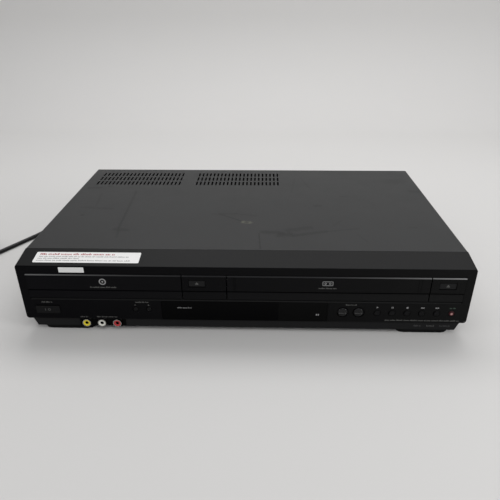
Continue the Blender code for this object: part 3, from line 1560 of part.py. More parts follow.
def vent_slots():
    """The cutters of the two fields of slots near the back of the cover."""
    slots = []
    rows = [REAR - VENT_REAR_INSET - row * VENT_ROW_PITCH for row in range(VENT_ROWS)]
    fields = (
        (LEFT + LEFT_VENT_INSET, LEFT_VENT_PITCH),
        (LEFT + RIGHT_VENT_INSET, RIGHT_VENT_PITCH),
    )
    depth = (COVER_TOP - COVER_WALL - OVERRUN, COVER_TOP + OVERRUN)
    for first, pitch in fields:
        for y in rows:
            for column in range(VENT_COLUMNS):
                x = around(first + column * pitch, VENT_WIDTH / 2)
                slots.append(block(x, around(y, VENT_LENGTH / 2), depth))
    return together(slots)


def top_cover():
    """The folded steel cover: top, two sides and a lip that turns down at the back."""
    bottom = CHASSIS_BOTTOM
    front = CREASE + FIT

    def section(inset, low):
        left, right, top = COVER_LEFT + inset, COVER_RIGHT - inset, COVER_TOP - inset
        bend = COVER_BEND - inset
        arcs = rounded((left, right), (low, top), bend)
        return [p for p in arcs if p[1] > (low + top) / 2] + [(left, low), (right, low)]

    shell = prism("Y", section(0, bottom), front, REAR)
    hollow = prism("Y", section(COVER_WALL, bottom - OVERRUN), front - OVERRUN, REAR - COVER_WALL)
    below = block(
        (LEFT + COVER_INSET + COVER_WALL, RIGHT - COVER_INSET - COVER_WALL),
        (REAR - COVER_WALL - OVERRUN, REAR + OVERRUN),
        (bottom - OVERRUN, COVER_TOP - COVER_LIP_DROP),
    )
    finish(cut(shell, hollow, below, vent_slots()), "top_cover", GREY_PAINT)


def rear_panel():
    """The steel back, with holes for the jacks, the aerial sockets, the lead and the screws."""
    top = COVER_TOP - COVER_WALL - FIT
    panel = block(
        (-FLANGE_SHIFT, FLANGE_SHIFT), (PANEL_FRONT, PANEL_BACK), (CHASSIS_BOTTOM, top)
    )

    def section_corners(a, b):
        return a.y != b.y and min(a.z, b.z) > top - FIT and abs(a.x - b.x) < FIT

    round_edges(panel, COVER_BEND, CORNER_STEPS, section_corners)
    through = (PANEL_FRONT - OVERRUN, PANEL_BACK + OVERRUN)
    holes = [
        rod("Y", place, JACK_RADIUS + PLAY, *through) for place in rear_jack_places()
    ]
    for place in aerial_places():
        holes.append(rod("Y", place, AERIAL_RADIUS + AERIAL_GAP, *through))
    neck = RELIEF_NECK_RADIUS + FIT
    holes.append(rod("Y", (RELIEF_X, RELIEF_RISE), neck, *through, ROUND_SIDES))
    finish(cut(panel, together(holes)), "rear_panel", DULL_STEEL)


def jack_barrels(places, plate, tip):
    """A ground plate with a barrel standing on it for each jack, bored through."""
    near, far = sorted((plate[2], tip))
    barrels = [rod("Y", place, JACK_RADIUS, near, far, JACK_SIDES) for place in places]
    bore = JACK_RADIUS - JACK_WALL
    bores = [
        rod("Y", place, bore, near - OVERRUN, far + OVERRUN, JACK_SIDES)
        for place in places
    ]
    whole = join(block(plate[0], sorted(plate[2:]), plate[1]), *barrels)
    return cut(whole, together(bores))


def jack_core(place, root, tip):
    """The plastic core of a jack, with the hole for the plug's pin."""
    way = 1 if tip > root else -1
    end = tip - way * INSERT_RECESS
    core = rod("Y", place, JACK_RADIUS - JACK_WALL - FIT, *sorted((root, end)), JACK_SIDES)
    hole = (end - way * JACK_PIN_DEPTH, end + way * OVERRUN)
    return cut(core, rod("Y", place, JACK_PIN_BORE, *sorted(hole)))


def front_jack_stretch():
    """The front jack block's low and high place on X."""
    places = front_jack_places()
    reach = STRIP_HEIGHT / 2 - FIT + JACK_PLATE_RIM
    return places[0][0] - reach, places[-1][0] + reach


def front_jacks():
    """The front jacks: a black block with a plate that shows in the strip, the ground plate
    behind it with the three barrels, and a coloured core in each barrel."""
    places = front_jack_places()
    tip = FRONT - FRONT_JACK_PROUD
    half = STRIP_HEIGHT / 2 - FIT
    ends = front_jack_stretch()
    stadium = rounded(ends, around(JACK_Z, half), half - LAP)
    body_front = STRIP_BACK + FIT
    front = prism("Y", stadium, JACK_FACE, body_front + LAP)
    heights = (CHASSIS_BOTTOM, FASCIA_BOTTOM + FASCIA_WALL - FIT)
    body = block(ends, (body_front, JACK_BLOCK_BACK), heights)
    holes = [
        rod(
            "Y",
            place,
            JACK_RADIUS + FIT,
            JACK_FACE - OVERRUN,
            JACK_BLOCK_BACK + OVERRUN,
            JACK_SIDES,
        )
        for place in places
    ]
    finish(cut(join(body, front), together(holes)), "front_jack_block", DARK_PLASTIC)
    near = JACK_BLOCK_BACK + FIT
    plate = (ends, heights, near, near + GROUND_PLATE)
    finish(jack_barrels(places, plate, tip), "front_jack_shells", NICKEL)
    looks = (("yellow", YELLOW), ("white", WHITE), ("red", RED))
    for place, (colour, look) in zip(places, looks):
        core = jack_core(place, near + GROUND_PLATE, tip)
        finish(core, "jack_insert_" + colour, look)


def rear_jacks():
    """The rear jacks: one block behind the panel with a core for each jack, and the ground plate
    between block and panel with the barrels that stand out round the cores."""
    places = rear_jack_places()
    tip = REAR + REAR_JACK_REACH
    x = (places[0][0] - REAR_BLOCK_MARGIN, places[-1][0] + REAR_BLOCK_MARGIN)
    z = (places[0][1] - REAR_BLOCK_MARGIN, places[-1][1] + REAR_BLOCK_MARGIN)
    near = PANEL_FRONT - FIT
    plate = (x, z, near, near - GROUND_PLATE)
    finish(jack_barrels(places, plate, tip), "rear_jack_shells", NICKEL)
    face = near - GROUND_PLATE - FIT
    back = PANEL_FRONT - REAR_JACK_DEPTH
    body = block(x, (back, face), z)
    foot = block(
        around((x[0] + x[1]) / 2, REAR_BLOCK_MARGIN),
        (back, face),
        (CHASSIS_TOP + FIT, z[0] + LAP),
    )
    cores = [jack_core(place, face - LAP, tip) for place in places]
    finish(join(body, foot, together(cores)), "rear_jack_block", DARK_PLASTIC)


def tuner_box():
    """The screened aerial box with its two threaded sockets."""
    x, y, z = TUNER_SIZE
    back = PANEL_FRONT - FIT
    can = block(
        around(TUNER_X, x / 2), (back - y, back), (TUNER_RISE, TUNER_RISE + z)
    )
    sockets = []
    for place in aerial_places():
        sockets.append(
            rod("Y", place, AERIAL_RADIUS, back - LAP, REAR + JACK_REACH, ROUND_SIDES)
        )
    join(can, *sockets)
    bores = [
        rod(
            "Y",
            place,
            AERIAL_RADIUS / 2,
            REAR + AERIAL_BORE_SHARE * JACK_REACH,
            REAR + JACK_REACH + OVERRUN,
        )
        for place in aerial_places()
    ]
    finish(cut(can, together(bores)), "tuner_box", BARE_STEEL)


def deck_chassis():
    """The tape deck's steel plate, with the pins of its reels and arm, the capstan's bearing and
    the erase head."""
    plate = block(around(DECK_X, DECK_HALF_WIDTH), DECK_Y, (DECK_RISE, DECK_TOP))
    foot = DECK_TOP - LAP
    pin_top = DECK_TOP + REEL_HEIGHT - REEL_FLANGE
    extras = [
        rod("Z", (DECK_X + side * REEL_SPREAD, REEL_Y), DECK_PIN_RADIUS, foot, pin_top)
        for side in (-1, 1)
    ]
    extras.append(
        rod("Z", (ARM_X, ARM_Y), ARM_PIN_RADIUS, foot, DECK_TOP + ARM_RISE + 2 * ARM_THICK)
    )
    erase_head = (DECK_X + ERASE_HEAD_SHIFT, DRUM_Y - ERASE_HEAD_FORE)
    extras.append(fixed_head(erase_head, foot))
    capstan = (CAPSTAN_X, CAPSTAN_Y)
    bearing_top = DECK_TOP + CAPSTAN_BEARING_HEIGHT
    extras.append(rod("Z", capstan, CAPSTAN_BEARING_RADIUS, foot, bearing_top, ROUND_SIDES))
    join(plate, *extras)
    bore = rod("Z", capstan, CAPSTAN_RADIUS + FIT, DECK_RISE - OVERRUN, bearing_top + OVERRUN)
    finish(cut(plate, bore), "deck_chassis", BARE_STEEL)


def reels():
    """The two reel tables: a flange, a hub and a finned spindle that the cassette drops on."""
    bottom = DECK_TOP + FIT
    for name, side in (("supply_reel", -1), ("takeup_reel", 1)):
        middle = (DECK_X + side * REEL_SPREAD, REEL_Y)
        hub = bottom + REEL_HUB_HEIGHT
        top = bottom + REEL_HEIGHT
        profile = (
            (bottom, REEL_RADIUS),
            (bottom + REEL_FLANGE, REEL_RADIUS),
            (bottom + REEL_FLANGE, REEL_HUB_RADIUS),
            (hub, REEL_HUB_RADIUS),
            (hub, REEL_SPINDLE_RADIUS),
            (top - REEL_FLANGE, REEL_SPINDLE_RADIUS),
            (top, REEL_SPINDLE_RADIUS / 2),
        )
        reel = turned("Z", middle, profile, ROUND_SIDES)
        fins = []
        for i in range(REEL_FINS):
            reach = REEL_SPINDLE_RADIUS + REEL_FIN_REACH
            fin = block(
                (middle[0], middle[0] + reach),
                around(middle[1], REEL_FIN_WIDTH / 2),
                (hub - LAP, top - REEL_FLANGE - LAP),
            )
            fins.append(turn(fin, (*middle, 0), "Z", 2 * math.pi * i / REEL_FINS))
        join(reel, *fins)
        bore = rod("Z", middle, DECK_PIN_RADIUS + FIT, bottom - OVERRUN, top + OVERRUN)
        finish(cut(reel, bore), name, WHITE_PLASTIC, pivot=(*middle, bottom))


def tilted(shape):
    """A piece of the drum, drawn upright, as it leans."""
    return turn(shape, (DECK_X, DRUM_Y, DRUM_FOOT), "X", DRUM_TILT)


def drum():
    """The head drum: a fixed lower drum on its foot, and the upper drum that spins."""
    middle = (DECK_X, DRUM_Y)
    base_top = DRUM_FOOT + DRUM_BASE_HEIGHT
    lower_top = base_top + LOWER_DRUM_HEIGHT
    shaft_top = lower_top + UPPER_DRUM_HEIGHT - FIT
    profile = (
        (base_top - LAP, DRUM_RADIUS),
        (lower_top, DRUM_RADIUS),
        (lower_top, DRUM_SHAFT_RADIUS),
        (shaft_top, DRUM_SHAFT_RADIUS),
    )
    foot_top = base_top + DRUM_FOOT_SHARE * LOWER_DRUM_HEIGHT
    foot = rod("Z", middle, DRUM_BASE_RADIUS, DRUM_FOOT, foot_top, ROUND_SIDES)
    lower = tilted(turned("Z", middle, profile, FINE_SIDES))
    join(lower, foot)
    finish(lower, "lower_drum", BARE_STEEL)
    upper_bottom = lower_top + FIT
    upper_top = upper_bottom + UPPER_DRUM_HEIGHT
    profile = (
        (upper_bottom, DRUM_RADIUS),
        (upper_top - DRUM_RIM_STEP, DRUM_RADIUS),
        (upper_top, DRUM_RADIUS - DRUM_RIM_STEP),
        (upper_top, DRUM_CAP_RADIUS),
        (upper_top + DRUM_CAP_HEIGHT, DRUM_CAP_RADIUS),
    )
    upper = turned("Z", middle, profile, FINE_SIDES)
    bore = rod(
        "Z",
        middle,
        DRUM_SHAFT_RADIUS + FIT,
        upper_bottom - OVERRUN,
        shaft_top + FIT,
        ROUND_SIDES,
    )
    pivot = drum_place(upper_bottom)
    finish(tilted(cut(upper, bore)), "head_drum", BARE_STEEL, pivot=pivot)


def drum_place(height):
    """A place on the leaning axis of the drum."""
    foot = Vector((DECK_X, DRUM_Y, DRUM_FOOT))
    return foot + Matrix.Rotation(DRUM_TILT, 3, "X") @ Vector((0, 0, height - DRUM_FOOT))


def capstan():
    """The capstan's shaft in its bearing, with the flywheel under the plate."""
    top = DECK_RISE - FIT
    profile = (
        (top - FLYWHEEL_THICK, FLYWHEEL_RADIUS),
        (top, FLYWHEEL_RADIUS),
        (top, CAPSTAN_RADIUS),
        (DECK_TOP + CAPSTAN_TOP, CAPSTAN_RADIUS),
    )
    shaft = turned("Z", (CAPSTAN_X, CAPSTAN_Y), profile, FINE_SIDES)
    finish(shaft, "capstan", BARE_STEEL, pivot=(CAPSTAN_X, CAPSTAN_Y, top))


def pressed_roller():
    """The roller's middle with the arm swung against the capstan."""
    return CAPSTAN_X, CAPSTAN_Y - ROLLER_RADIUS - CAPSTAN_RADIUS - FIT


def swung_back(shape):
    """A piece of the arm, drawn against the capstan, as it lies swung back."""
    return turn(shape, (ARM_X, ARM_Y, 0), "Z", ARM_SWING)


def pinch_roller_arm():
    """The arm that presses the roller to the capstan, with the roller's shaft."""
    roller = pressed_roller()
    low = DECK_TOP + ARM_RISE
    high = low + ARM_THICK
    along = Vector((roller[0] - ARM_X, roller[1] - ARM_Y))
    across = Vector((-along.y, along.x)).normalized() * ARM_WIDTH / 2
    pivot = Vector((ARM_X, ARM_Y))
    outline = [
        tuple(corner)
        for corner in (
            pivot + across,
            pivot - across,
            pivot + along - across,
            pivot + along + across,
        )
    ]
    arm = prism("Z", outline, low, high)
    shaft_top = low + ROLLER_RISE + ROLLER_HEIGHT - ARM_THICK
    extras = [
        rod("Z", tuple(pivot), ARM_WIDTH / 2 + LAP, low, high + ARM_THICK / 2),
        rod("Z", roller, ARM_WIDTH / 2 + LAP, low, high),
        rod("Z", roller, ROLLER_SHAFT_RADIUS, high - LAP, shaft_top),
        rod("Z", roller, ROLLER_BORE + OVERRUN, high - LAP, low + ROLLER_RISE - FIT),
    ]
    join(arm, *extras)
    bore = rod("Z", tuple(pivot), ARM_PIN_RADIUS + FIT, low - OVERRUN, high + ARM_THICK)
    finish(
        swung_back(cut(arm, bore)),
        "pinch_roller_arm",
        DULL_STEEL,
        pivot=(ARM_X, ARM_Y, low),
    )


def pinch_roller():
    """The rubber roller on the arm's shaft."""
    roller = pressed_roller()
    low = DECK_TOP + ARM_RISE + ROLLER_RISE
    high = low + ROLLER_HEIGHT
    wheel = rod("Z", roller, ROLLER_RADIUS, low, high, ROUND_SIDES)
    bore = rod(
        "Z", roller, ROLLER_SHAFT_RADIUS + FIT, low - OVERRUN, high - ARM_THICK + FIT
    )
    middle = Vector((ARM_X, ARM_Y, 0))
    swing = Matrix.Rotation(ARM_SWING, 3, "Z")
    pivot = middle + swing @ (Vector((*roller, low)) - middle)
    finish(
        swung_back(cut(wheel, bore)),
        "pinch_roller",
        RUBBER,
        pivot=pivot,
        holder=bpy.data.objects["pinch_roller_arm"],
    )


def fixed_head(middle, foot):
    """A fixed head on its post."""
    x, y, z = HEAD_SIZE
    low = foot + HEAD_POST_HEIGHT
    head = block(around(middle[0], x / 2), around(middle[1], y / 2), (low, low + z))
    return join(head, rod("Z", middle, HEAD_POST_RADIUS, foot, low + LAP))


def sound_head():
    """The sound and control head, on the way from the drum to the capstan."""
    middle = (DECK_X + SOUND_HEAD_SHIFT, DRUM_Y - SOUND_HEAD_FORE)
    finish(fixed_head(middle, DECK_TOP + FIT), "sound_head", DULL_STEEL)


def holder_pin_places():
    """Where the holder's pins stand, along Y, with the holder at rest."""
    return [HOLDER_FRONT + place for place in HOLDER_PIN_PLACES]


def cassette_holder():
    """The holder: side ledges and a front strip below, two side walls, a roof and four pins."""
    back = HOLDER_FRONT + HOLDER_LENGTH
    roof_front = HOLDER_FRONT + HOLDER_MOUTH_LENGTH
    roof_top = HOLDER_ROOF + HOLDER_WALL
    x = around(DECK_X, HOLDER_OUTER)
    floor = block(
        x, (HOLDER_FRONT, HOLDER_FRONT + HOLDER_FRONT_STRIP), (HOLDER_BOTTOM, HOLDER_FLOOR)
    )
    extras = [
        block(x, (roof_front, roof_front + HOLDER_ROOF_LENGTH), (HOLDER_ROOF, roof_top))
    ]
    for side in (-1, 1):
        outer = DECK_X + side * HOLDER_OUTER
        inner = DECK_X + side * HOLDER_INNER
        ledge = sorted((outer, DECK_X + side * (HOLDER_INNER - HOLDER_LEDGE)))
        extras.append(
            block(ledge, (HOLDER_FRONT, back), (HOLDER_BOTTOM, HOLDER_FLOOR))
        )
        wall = sorted((outer, inner))
        extras.append(block(wall, (HOLDER_FRONT, back), (HOLDER_BOTTOM, roof_top)))
        pin_end = DECK_X + side * (BRACKET_OUTER - FIT)
        for y in holder_pin_places():
            ends = sorted((outer - side * LAP, pin_end))
            extras.append(rod("X", (y, HOLDER_PIN_Z), HOLDER_PIN_RADIUS, *ends))
    finish(
        join(floor, *extras),
        "cassette_holder",
        BARE_STEEL,
        pivot=(DECK_X, HOLDER_FRONT, HOLDER_BOTTOM),
        holder=bpy.data.objects["holder_carriage"],
    )


def holder_carriage():
    """The carriage round the holder: two side plates with upright slots, joined over the top."""
    back = CARRIAGE_FRONT + CARRIAGE_LENGTH
    bar_front = CARRIAGE_FRONT + CARRIAGE_BAR_PLACE
    bar = (bar_front, bar_front + CARRIAGE_BAR_DEPTH)
    bar_bottom = HOLDER_ROOF + HOLDER_WALL + PLAY
    bar_top = bar_bottom + CARRIAGE_BAR_WALL
    carriage = block(around(DECK_X, CARRIAGE_OUTER), bar, (bar_bottom, bar_top))
    extras = []
    cutters = []
    gap = HOLDER_PIN_RADIUS + BRACKET_SLOT_PLAY
    for side in (-1, 1):
        plate = sorted(DECK_X + side * x for x in (CARRIAGE_INNER, CARRIAGE_OUTER))
        low = HOLDER_BOTTOM - CARRIAGE_BOTTOM
        extras.append(
            block(plate, (CARRIAGE_FRONT, back), (low, HOLDER_BOTTOM + CARRIAGE_TOP))
        )
        extras.append(block(plate, bar, (HOLDER_BOTTOM, bar_top)))
        for place in CARRIAGE_PIN_PLACES:
            pin = (CARRIAGE_FRONT + place, CARRIAGE_PIN_Z)
            ends = sorted(
                DECK_X + side * x for x in (CARRIAGE_OUTER - LAP, BRACKET_OUTER - FIT)
            )
            extras.append(rod("X", pin, HOLDER_PIN_RADIUS, *ends))
        around_plate = (plate[0] - OVERRUN, plate[1] + OVERRUN)
        for y in holder_pin_places():
            heights = (HOLDER_PIN_Z - HOLDER_DROP - gap, HOLDER_PIN_Z + gap)
            cutters.append(block(around_plate, around(y, gap), heights))
    join(carriage, *extras)
    finish(
        cut(carriage, together(cutters)),
        "holder_carriage",
        DULL_STEEL,
        pivot=(DECK_X, CARRIAGE_FRONT, CARRIAGE_PIN_Z),
    )


def deck_brackets():
    """The brackets beside the holder, with windows for its pins and slots for the carriage's,
    joined by a bar behind the holder's travel."""
    start = FRONT + BRACKET_START
    back = start + BRACKET_LENGTH
    gap = HOLDER_PIN_RADIUS + BRACKET_SLOT_PLAY
    bottom = DECK_TOP + FIT
    top = HOLDER_BOTTOM + BRACKET_TOP
    walls, windows = [], []
    for side in (-1, 1):
        wall = sorted(DECK_X + side * x for x in (BRACKET_INNER, BRACKET_OUTER))
        foot = sorted(
            DECK_X + side * x for x in (BRACKET_INNER, BRACKET_INNER + BRACKET_FOOT)
        )
        walls.append(block(wall, (start, back), (bottom, top)))
        walls.append(block(foot, (start + BRACKET_FOOT, back), (bottom, bottom + BRACKET_WALL)))
        across = (wall[0] - OVERRUN, wall[1] + OVERRUN)
        for y in holder_pin_places():
            windows.append(
                block(
                    across,
                    (y - gap, y + HOLDER_SLIDE + gap),
                    (HOLDER_PIN_Z - HOLDER_DROP - gap, HOLDER_PIN_Z + gap),
                )
            )
        for place in CARRIAGE_PIN_PLACES:
            y = CARRIAGE_FRONT + place
            slot = around(CARRIAGE_PIN_Z, gap)
            windows.append(block(across, (y - gap, y + HOLDER_SLIDE + gap), slot))
    bar = block(
        around(DECK_X, BRACKET_INNER + LAP),
        (back - BRACKET_BAR_WALL, back),
        (top - BRACKET_BAR_HEIGHT, top),
    )
    finish(cut(join(bar, *walls), together(windows)), "deck_brackets", DULL_STEEL)


def cassette_door():
    """The tape flap: the door with an ear and a hinge pin at each end of its top."""
    back = FRONT + DOOR_BACK
    flap = prism("X", door_outline(back), FLAP_LEFT, FLAP_RIGHT)
    hinge = (FLAP_HINGE_Y, FLAP_HINGE_Z)
    ear_front = FASCIA_BACK + FIT
    extras = []
    for edge, side in ((FLAP_LEFT, 1), (FLAP_RIGHT, -1)):
        ear = sorted((edge, edge + side * FLAP_EAR_WIDTH))
        outline = (
            (back - LAP, DOOR_TOP - OVER_DOOR_GAP),
            (back - LAP, DOOR_TOP - HINGE_RISE),
            (FLAP_HINGE_Y + FLAP_EAR_RADIUS, DOOR_TOP - HINGE_RISE),
            (FLAP_HINGE_Y + FLAP_EAR_RADIUS, FLAP_HINGE_Z),
            (ear_front, FLAP_HINGE_Z),
            (ear_front, DOOR_TOP - OVER_DOOR_GAP),
        )
        extras.append(prism("X", outline, *ear))
        extras.append(rod("X", hinge, FLAP_EAR_RADIUS - FIT, *ear))
        pin = sorted((edge + side * LAP, edge - side * FLAP_PIN_LENGTH))
        extras.append(rod("X", hinge, FLAP_PIN_RADIUS, *pin))
    finish(
        join(flap, *extras),
        "cassette_door",
        BLACK_PLASTIC,
        pivot=(DECK_X, FLAP_HINGE_Y, FLAP_HINGE_Z),
    )


def strain_relief():
    """The tapered sleeve that holds the lead in the back."""
    profile = (
        (PANEL_FRONT - FIT - RELIEF_FLANGE_THICK, RELIEF_FLANGE_RADIUS),
        (PANEL_FRONT - FIT, RELIEF_FLANGE_RADIUS),
        (PANEL_FRONT - FIT, RELIEF_NECK_RADIUS),
        (PANEL_BACK + FIT, RELIEF_NECK_RADIUS),
        (PANEL_BACK + FIT, RELIEF_FLANGE_RADIUS),
        (PANEL_BACK + FIT + RELIEF_FLANGE_THICK, RELIEF_FLANGE_RADIUS),
        (PANEL_BACK + FIT + 2 * RELIEF_FLANGE_THICK, RELIEF_NECK_RADIUS),
        (RELIEF_END, RELIEF_TIP_RADIUS),
    )
    sleeve = turned("Y", (RELIEF_X, RELIEF_RISE), profile, ROUND_SIDES)
    finish(sleeve, "strain_relief", RUBBER)


def tube(name, points, sides_level):
    """A cord along its points."""
    curve = bpy.data.curves.new(name, "CURVE")
    curve.dimensions = "3D"
    curve.bevel_depth = CORD_RADIUS
    curve.bevel_resolution = sides_level
    curve.use_fill_caps = True
    spline = curve.splines.new("POLY")
    spline.points.add(len(points) - 1)
    for place, point in zip(spline.points, points):
        place.co = (*point, 1)
    cord = bpy.data.objects.new(name, curve)
    bpy.context.scene.collection.objects.link(cord)
    material = bpy.data.materials.new(name)
    material.use_nodes = True
    shader = material.node_tree.nodes["Principled BSDF"]
    shader.inputs["Base Color"].default_value = (*RUBBER[0], 1)
    shader.inputs["Roughness"].default_value = RUBBER[1]
    curve.materials.append(material)
    return cord


def smooth_route(places):
    """Points a cord step apart on a smooth curve through the places."""
    spots = [Vector(place) for place in places]
    spots = [2 * spots[0] - spots[1]] + spots + [2 * spots[-1] - spots[-2]]
    points = []
    for a, b, c, d in zip(spots, spots[1:], spots[2:], spots[3:]):
        steps = max(1, round((c - b).length / CORD_STEP))
        for i in range(steps):
            done = i / steps
            near = b.lerp(c, done)
            before = a.lerp(b, done + 1)
            after = c.lerp(d, done - 1)
            early = before.lerp(near, (done + 1) / 2)
            late = near.lerp(after, done / 2)
            points.append(early.lerp(late, done))
    return points + [spots[-2]]


def coil_heading():
    return Vector((math.cos(COIL_HEADING), math.sin(COIL_HEADING), 0))


def coil_points():
    """The coil's points: in along the lower layer, up a layer in half a turn, and out again."""
    heading = coil_heading()
    inward = Vector((heading.y, -heading.x, 0))
    start = Vector(COIL_START)
    middle = start + inward * COIL_OUTER_RADIUS
    first_angle = math.atan2(-inward.y, -inward.x)
    turns = 2 * COIL_LAYER_TURNS + COIL_CLIMB_TURNS
    count = round(turns * COIL_POINTS)
    points = [start - heading * 2 * CORD_RADIUS]
    for i in range(count + 1):
        done = turns * i / count
        climb = min(max((done - COIL_LAYER_TURNS) / COIL_CLIMB_TURNS, 0), 1)
        unwound = max(done - COIL_LAYER_TURNS - COIL_CLIMB_TURNS, 0)
        inner = min(done, COIL_LAYER_TURNS) - unwound
        radius = COIL_OUTER_RADIUS - COIL_PITCH * inner
        angle = first_angle - 2 * math.pi * done
        points.append(
            middle
            + Vector(
                (
                    radius * math.cos(angle),
                    radius * math.sin(angle),
                    COIL_LAYER_RISE * climb,
                )
            )
        )
    end_angle = first_angle - 2 * math.pi * turns
    end_heading = Vector((math.sin(end_angle), -math.cos(end_angle), 0))
    last = points[-1]
    for i in range(COIL_TAIL_STEPS):
        points.append(last + end_heading * COIL_TAIL * (i + 1) / COIL_TAIL_STEPS)
    return points, end_heading


def least_gap(points):
    """The least gap between stretches of the coil more than a quarter turn apart."""
    least = min(
        (a - b).length
        for i, a in enumerate(points)
        for b in points[i + COIL_APART_POINTS :]
    )
    return least - 2 * CORD_RADIUS


def length_of(points):
    return sum((b - a).length for a, b in zip(points, points[1:]))


def mains_cord():
    """The mains lead from its sleeve to the coil, and the coil."""
    start = (RELIEF_X, RELIEF_END + FIT, RELIEF_RISE)
    coil, end_heading = coil_points()
    end = coil[0] - coil_heading() * FIT
    route = smooth_route((start, *CORD_ROUTE, tuple(end)))
    tube("mains_cord_lead", route, 2)
    tube("mains_cord_coil", coil, 1)
    print("lead length", round(length_of(route), 4), "with", len(route), "points")
    print("coil length", round(length_of(coil), 4), "with", len(coil), "points")
    print("least gap of the coil to itself", round(least_gap(coil), 5))
    return coil[-1], end_heading


def mains_plug(tip, heading):
    """The plug at the end of the coil: a taper, a flat body with round corners and two blades."""
    half = tip.z
    low = FIT
    taper = turned(
        "X",
        (0, half),
        (
            (low, PLUG_TAPER_TIP),
            (low + PLUG_TAPER, PLUG_TAPER_SHARE * half),
            (low + PLUG_TAPER + LAP, PLUG_TAPER_SHARE * half),
        ),
        ROUND_SIDES,
    )
    body_start = low + PLUG_TAPER
    outline = rounded(around(0, PLUG_WIDTH / 2), (0, 2 * half), PLUG_CORNER)
    body = prism("X", outline, body_start, body_start + PLUG_LENGTH)
    blades = []
    for side in (-1, 1):
        y = around(side * BLADE_SPREAD / 2, BLADE_THICK / 2)
        x = (body_start + PLUG_LENGTH - LAP, body_start + PLUG_LENGTH + BLADE_LENGTH)
        blades.append(block(x, y, around(half, BLADE_WIDTH / 2)))
    plug = join(body, taper, *blades)
    turn(plug, (0, 0, 0), "Z", math.atan2(heading.y, heading.x))
    plug.data.transform(Matrix.Translation((tip.x, tip.y, 0)))
    finish(plug, "mains_plug", RUBBER)


front_fascia()
display_window()
display_tube()
front_board()
buttons()
disc_tray()
tray_door()
tray_gear()
loader_frame()
clamp_bridge()
disc_clamp()
loader_traverse()
disc_turntable()
optical_pickup()
bottom_chassis()
main_board()
power_board()
rubber_feet()
top_cover()
rear_panel()
front_jacks()
rear_jacks()
tuner_box()
deck_chassis()
reels()
drum()
capstan()
pinch_roller_arm()
pinch_roller()
sound_head()
holder_carriage()
cassette_holder()
deck_brackets()
cassette_door()
strain_relief()
mains_plug(*mains_cord())
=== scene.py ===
import json
import math
import random

import bmesh
import bpy
from mathutils import Matrix, Vector


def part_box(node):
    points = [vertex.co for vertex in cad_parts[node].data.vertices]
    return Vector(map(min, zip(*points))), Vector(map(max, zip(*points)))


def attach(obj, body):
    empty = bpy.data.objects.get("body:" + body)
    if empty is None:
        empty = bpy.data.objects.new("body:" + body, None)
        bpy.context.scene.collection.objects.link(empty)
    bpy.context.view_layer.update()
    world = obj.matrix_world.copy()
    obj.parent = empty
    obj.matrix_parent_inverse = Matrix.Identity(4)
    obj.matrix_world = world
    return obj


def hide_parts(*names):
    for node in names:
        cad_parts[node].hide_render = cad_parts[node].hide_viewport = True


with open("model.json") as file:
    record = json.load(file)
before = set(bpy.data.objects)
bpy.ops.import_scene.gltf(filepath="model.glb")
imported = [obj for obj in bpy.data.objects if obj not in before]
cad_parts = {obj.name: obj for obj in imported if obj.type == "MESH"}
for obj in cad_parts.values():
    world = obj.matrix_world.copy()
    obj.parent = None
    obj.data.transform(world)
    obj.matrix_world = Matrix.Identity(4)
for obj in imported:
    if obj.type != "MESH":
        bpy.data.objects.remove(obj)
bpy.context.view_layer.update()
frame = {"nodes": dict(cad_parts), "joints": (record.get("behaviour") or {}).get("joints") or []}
nodes = frame["nodes"]

# The camera stands in front of the player, a little to the right of its middle, and looks down
# on it at about 28 degrees. Its place and turn were fitted to the player's own corners.
CAMERA_PLACE = (0.01761, -0.53829, 0.30299)
CAMERA_RIGHT = (0.99963852, 0.02658574, -0.00400404)
CAMERA_UP = (-0.00877962, 0.46356087, 0.88602158)
CAMERA_BACK = (0.02541165, -0.88566614, 0.46362671)
CAMERA_SENSOR = 36
CAMERA_LENS = 36
scene = bpy.context.scene


def placed(name, data):
    """An object made of the data, put in the scene."""
    made = bpy.data.objects.new(name, data)
    scene.collection.objects.link(made)
    return made


camera = placed("camera", bpy.data.cameras.new("camera"))
camera_turn = Matrix((CAMERA_RIGHT, CAMERA_UP, CAMERA_BACK)).transposed()
camera.matrix_world = Matrix.Translation(CAMERA_PLACE) @ camera_turn.to_4x4()
camera.data.sensor_width = CAMERA_SENSOR
camera.data.lens = CAMERA_LENS
scene.camera = camera
scene.view_settings.view_transform = "Standard"

# The room: a pale floor that curves up into a pale backdrop, an even pale world, a broad soft
# lamp above and behind the player, and weaker ones at the front and both sides.
FLOOR_TONES = ((0.60, 0.59, 0.58, 1), (0.62, 0.61, 0.60, 1))
FLOOR_NOISE = {"Scale": 6, "Detail": 3}
FLOOR_ROUGHNESS = 0.85
FLOOR_SPECULAR = 0.2
FLOOR_REACH = 2.2
FLOOR_FRONT = -1.6
BACKDROP_START = 0.62
BACKDROP_BEND = 0.25
BACKDROP_HEIGHT = 1.5
BEND_STEPS = 16
WORLD_COLOUR = (0.62, 0.63, 0.64, 1)
WORLD_STRENGTH = 0.75
LAMPS = (
    # name, place, aim, size, power
    ("back_lamp", (0.1, 0.55, 1.15), (0, 0.05, 0.05), (1.5, 0.6), 9),
    ("front_lamp", (0.2, -1.0, 1.2), (0, -0.1, 0.04), (0.9, 0.6), 3.5),
    ("right_lamp", (1.15, -0.6, 0.55), (0.05, -0.1, 0.04), (0.36, 0.36), 5),
    ("left_lamp", (-1.1, -0.7, 0.55), (0, -0.1, 0.04), (0.36, 0.36), 1.8),
)


def add_node(tree, kind, sockets=None, **settings):
    """A shader node with its settings, and with its sockets set or joined."""
    made = tree.nodes.new("ShaderNode" + kind)
    for name, value in settings.items():
        setattr(made, name, value)
    for name, value in (sockets or {}).items():
        value = getattr(value, "socket", value)
        if isinstance(value, bpy.types.NodeSocket):
            tree.links.new(value, made.inputs[name])
        else:
            made.inputs[name].default_value = value
    return made


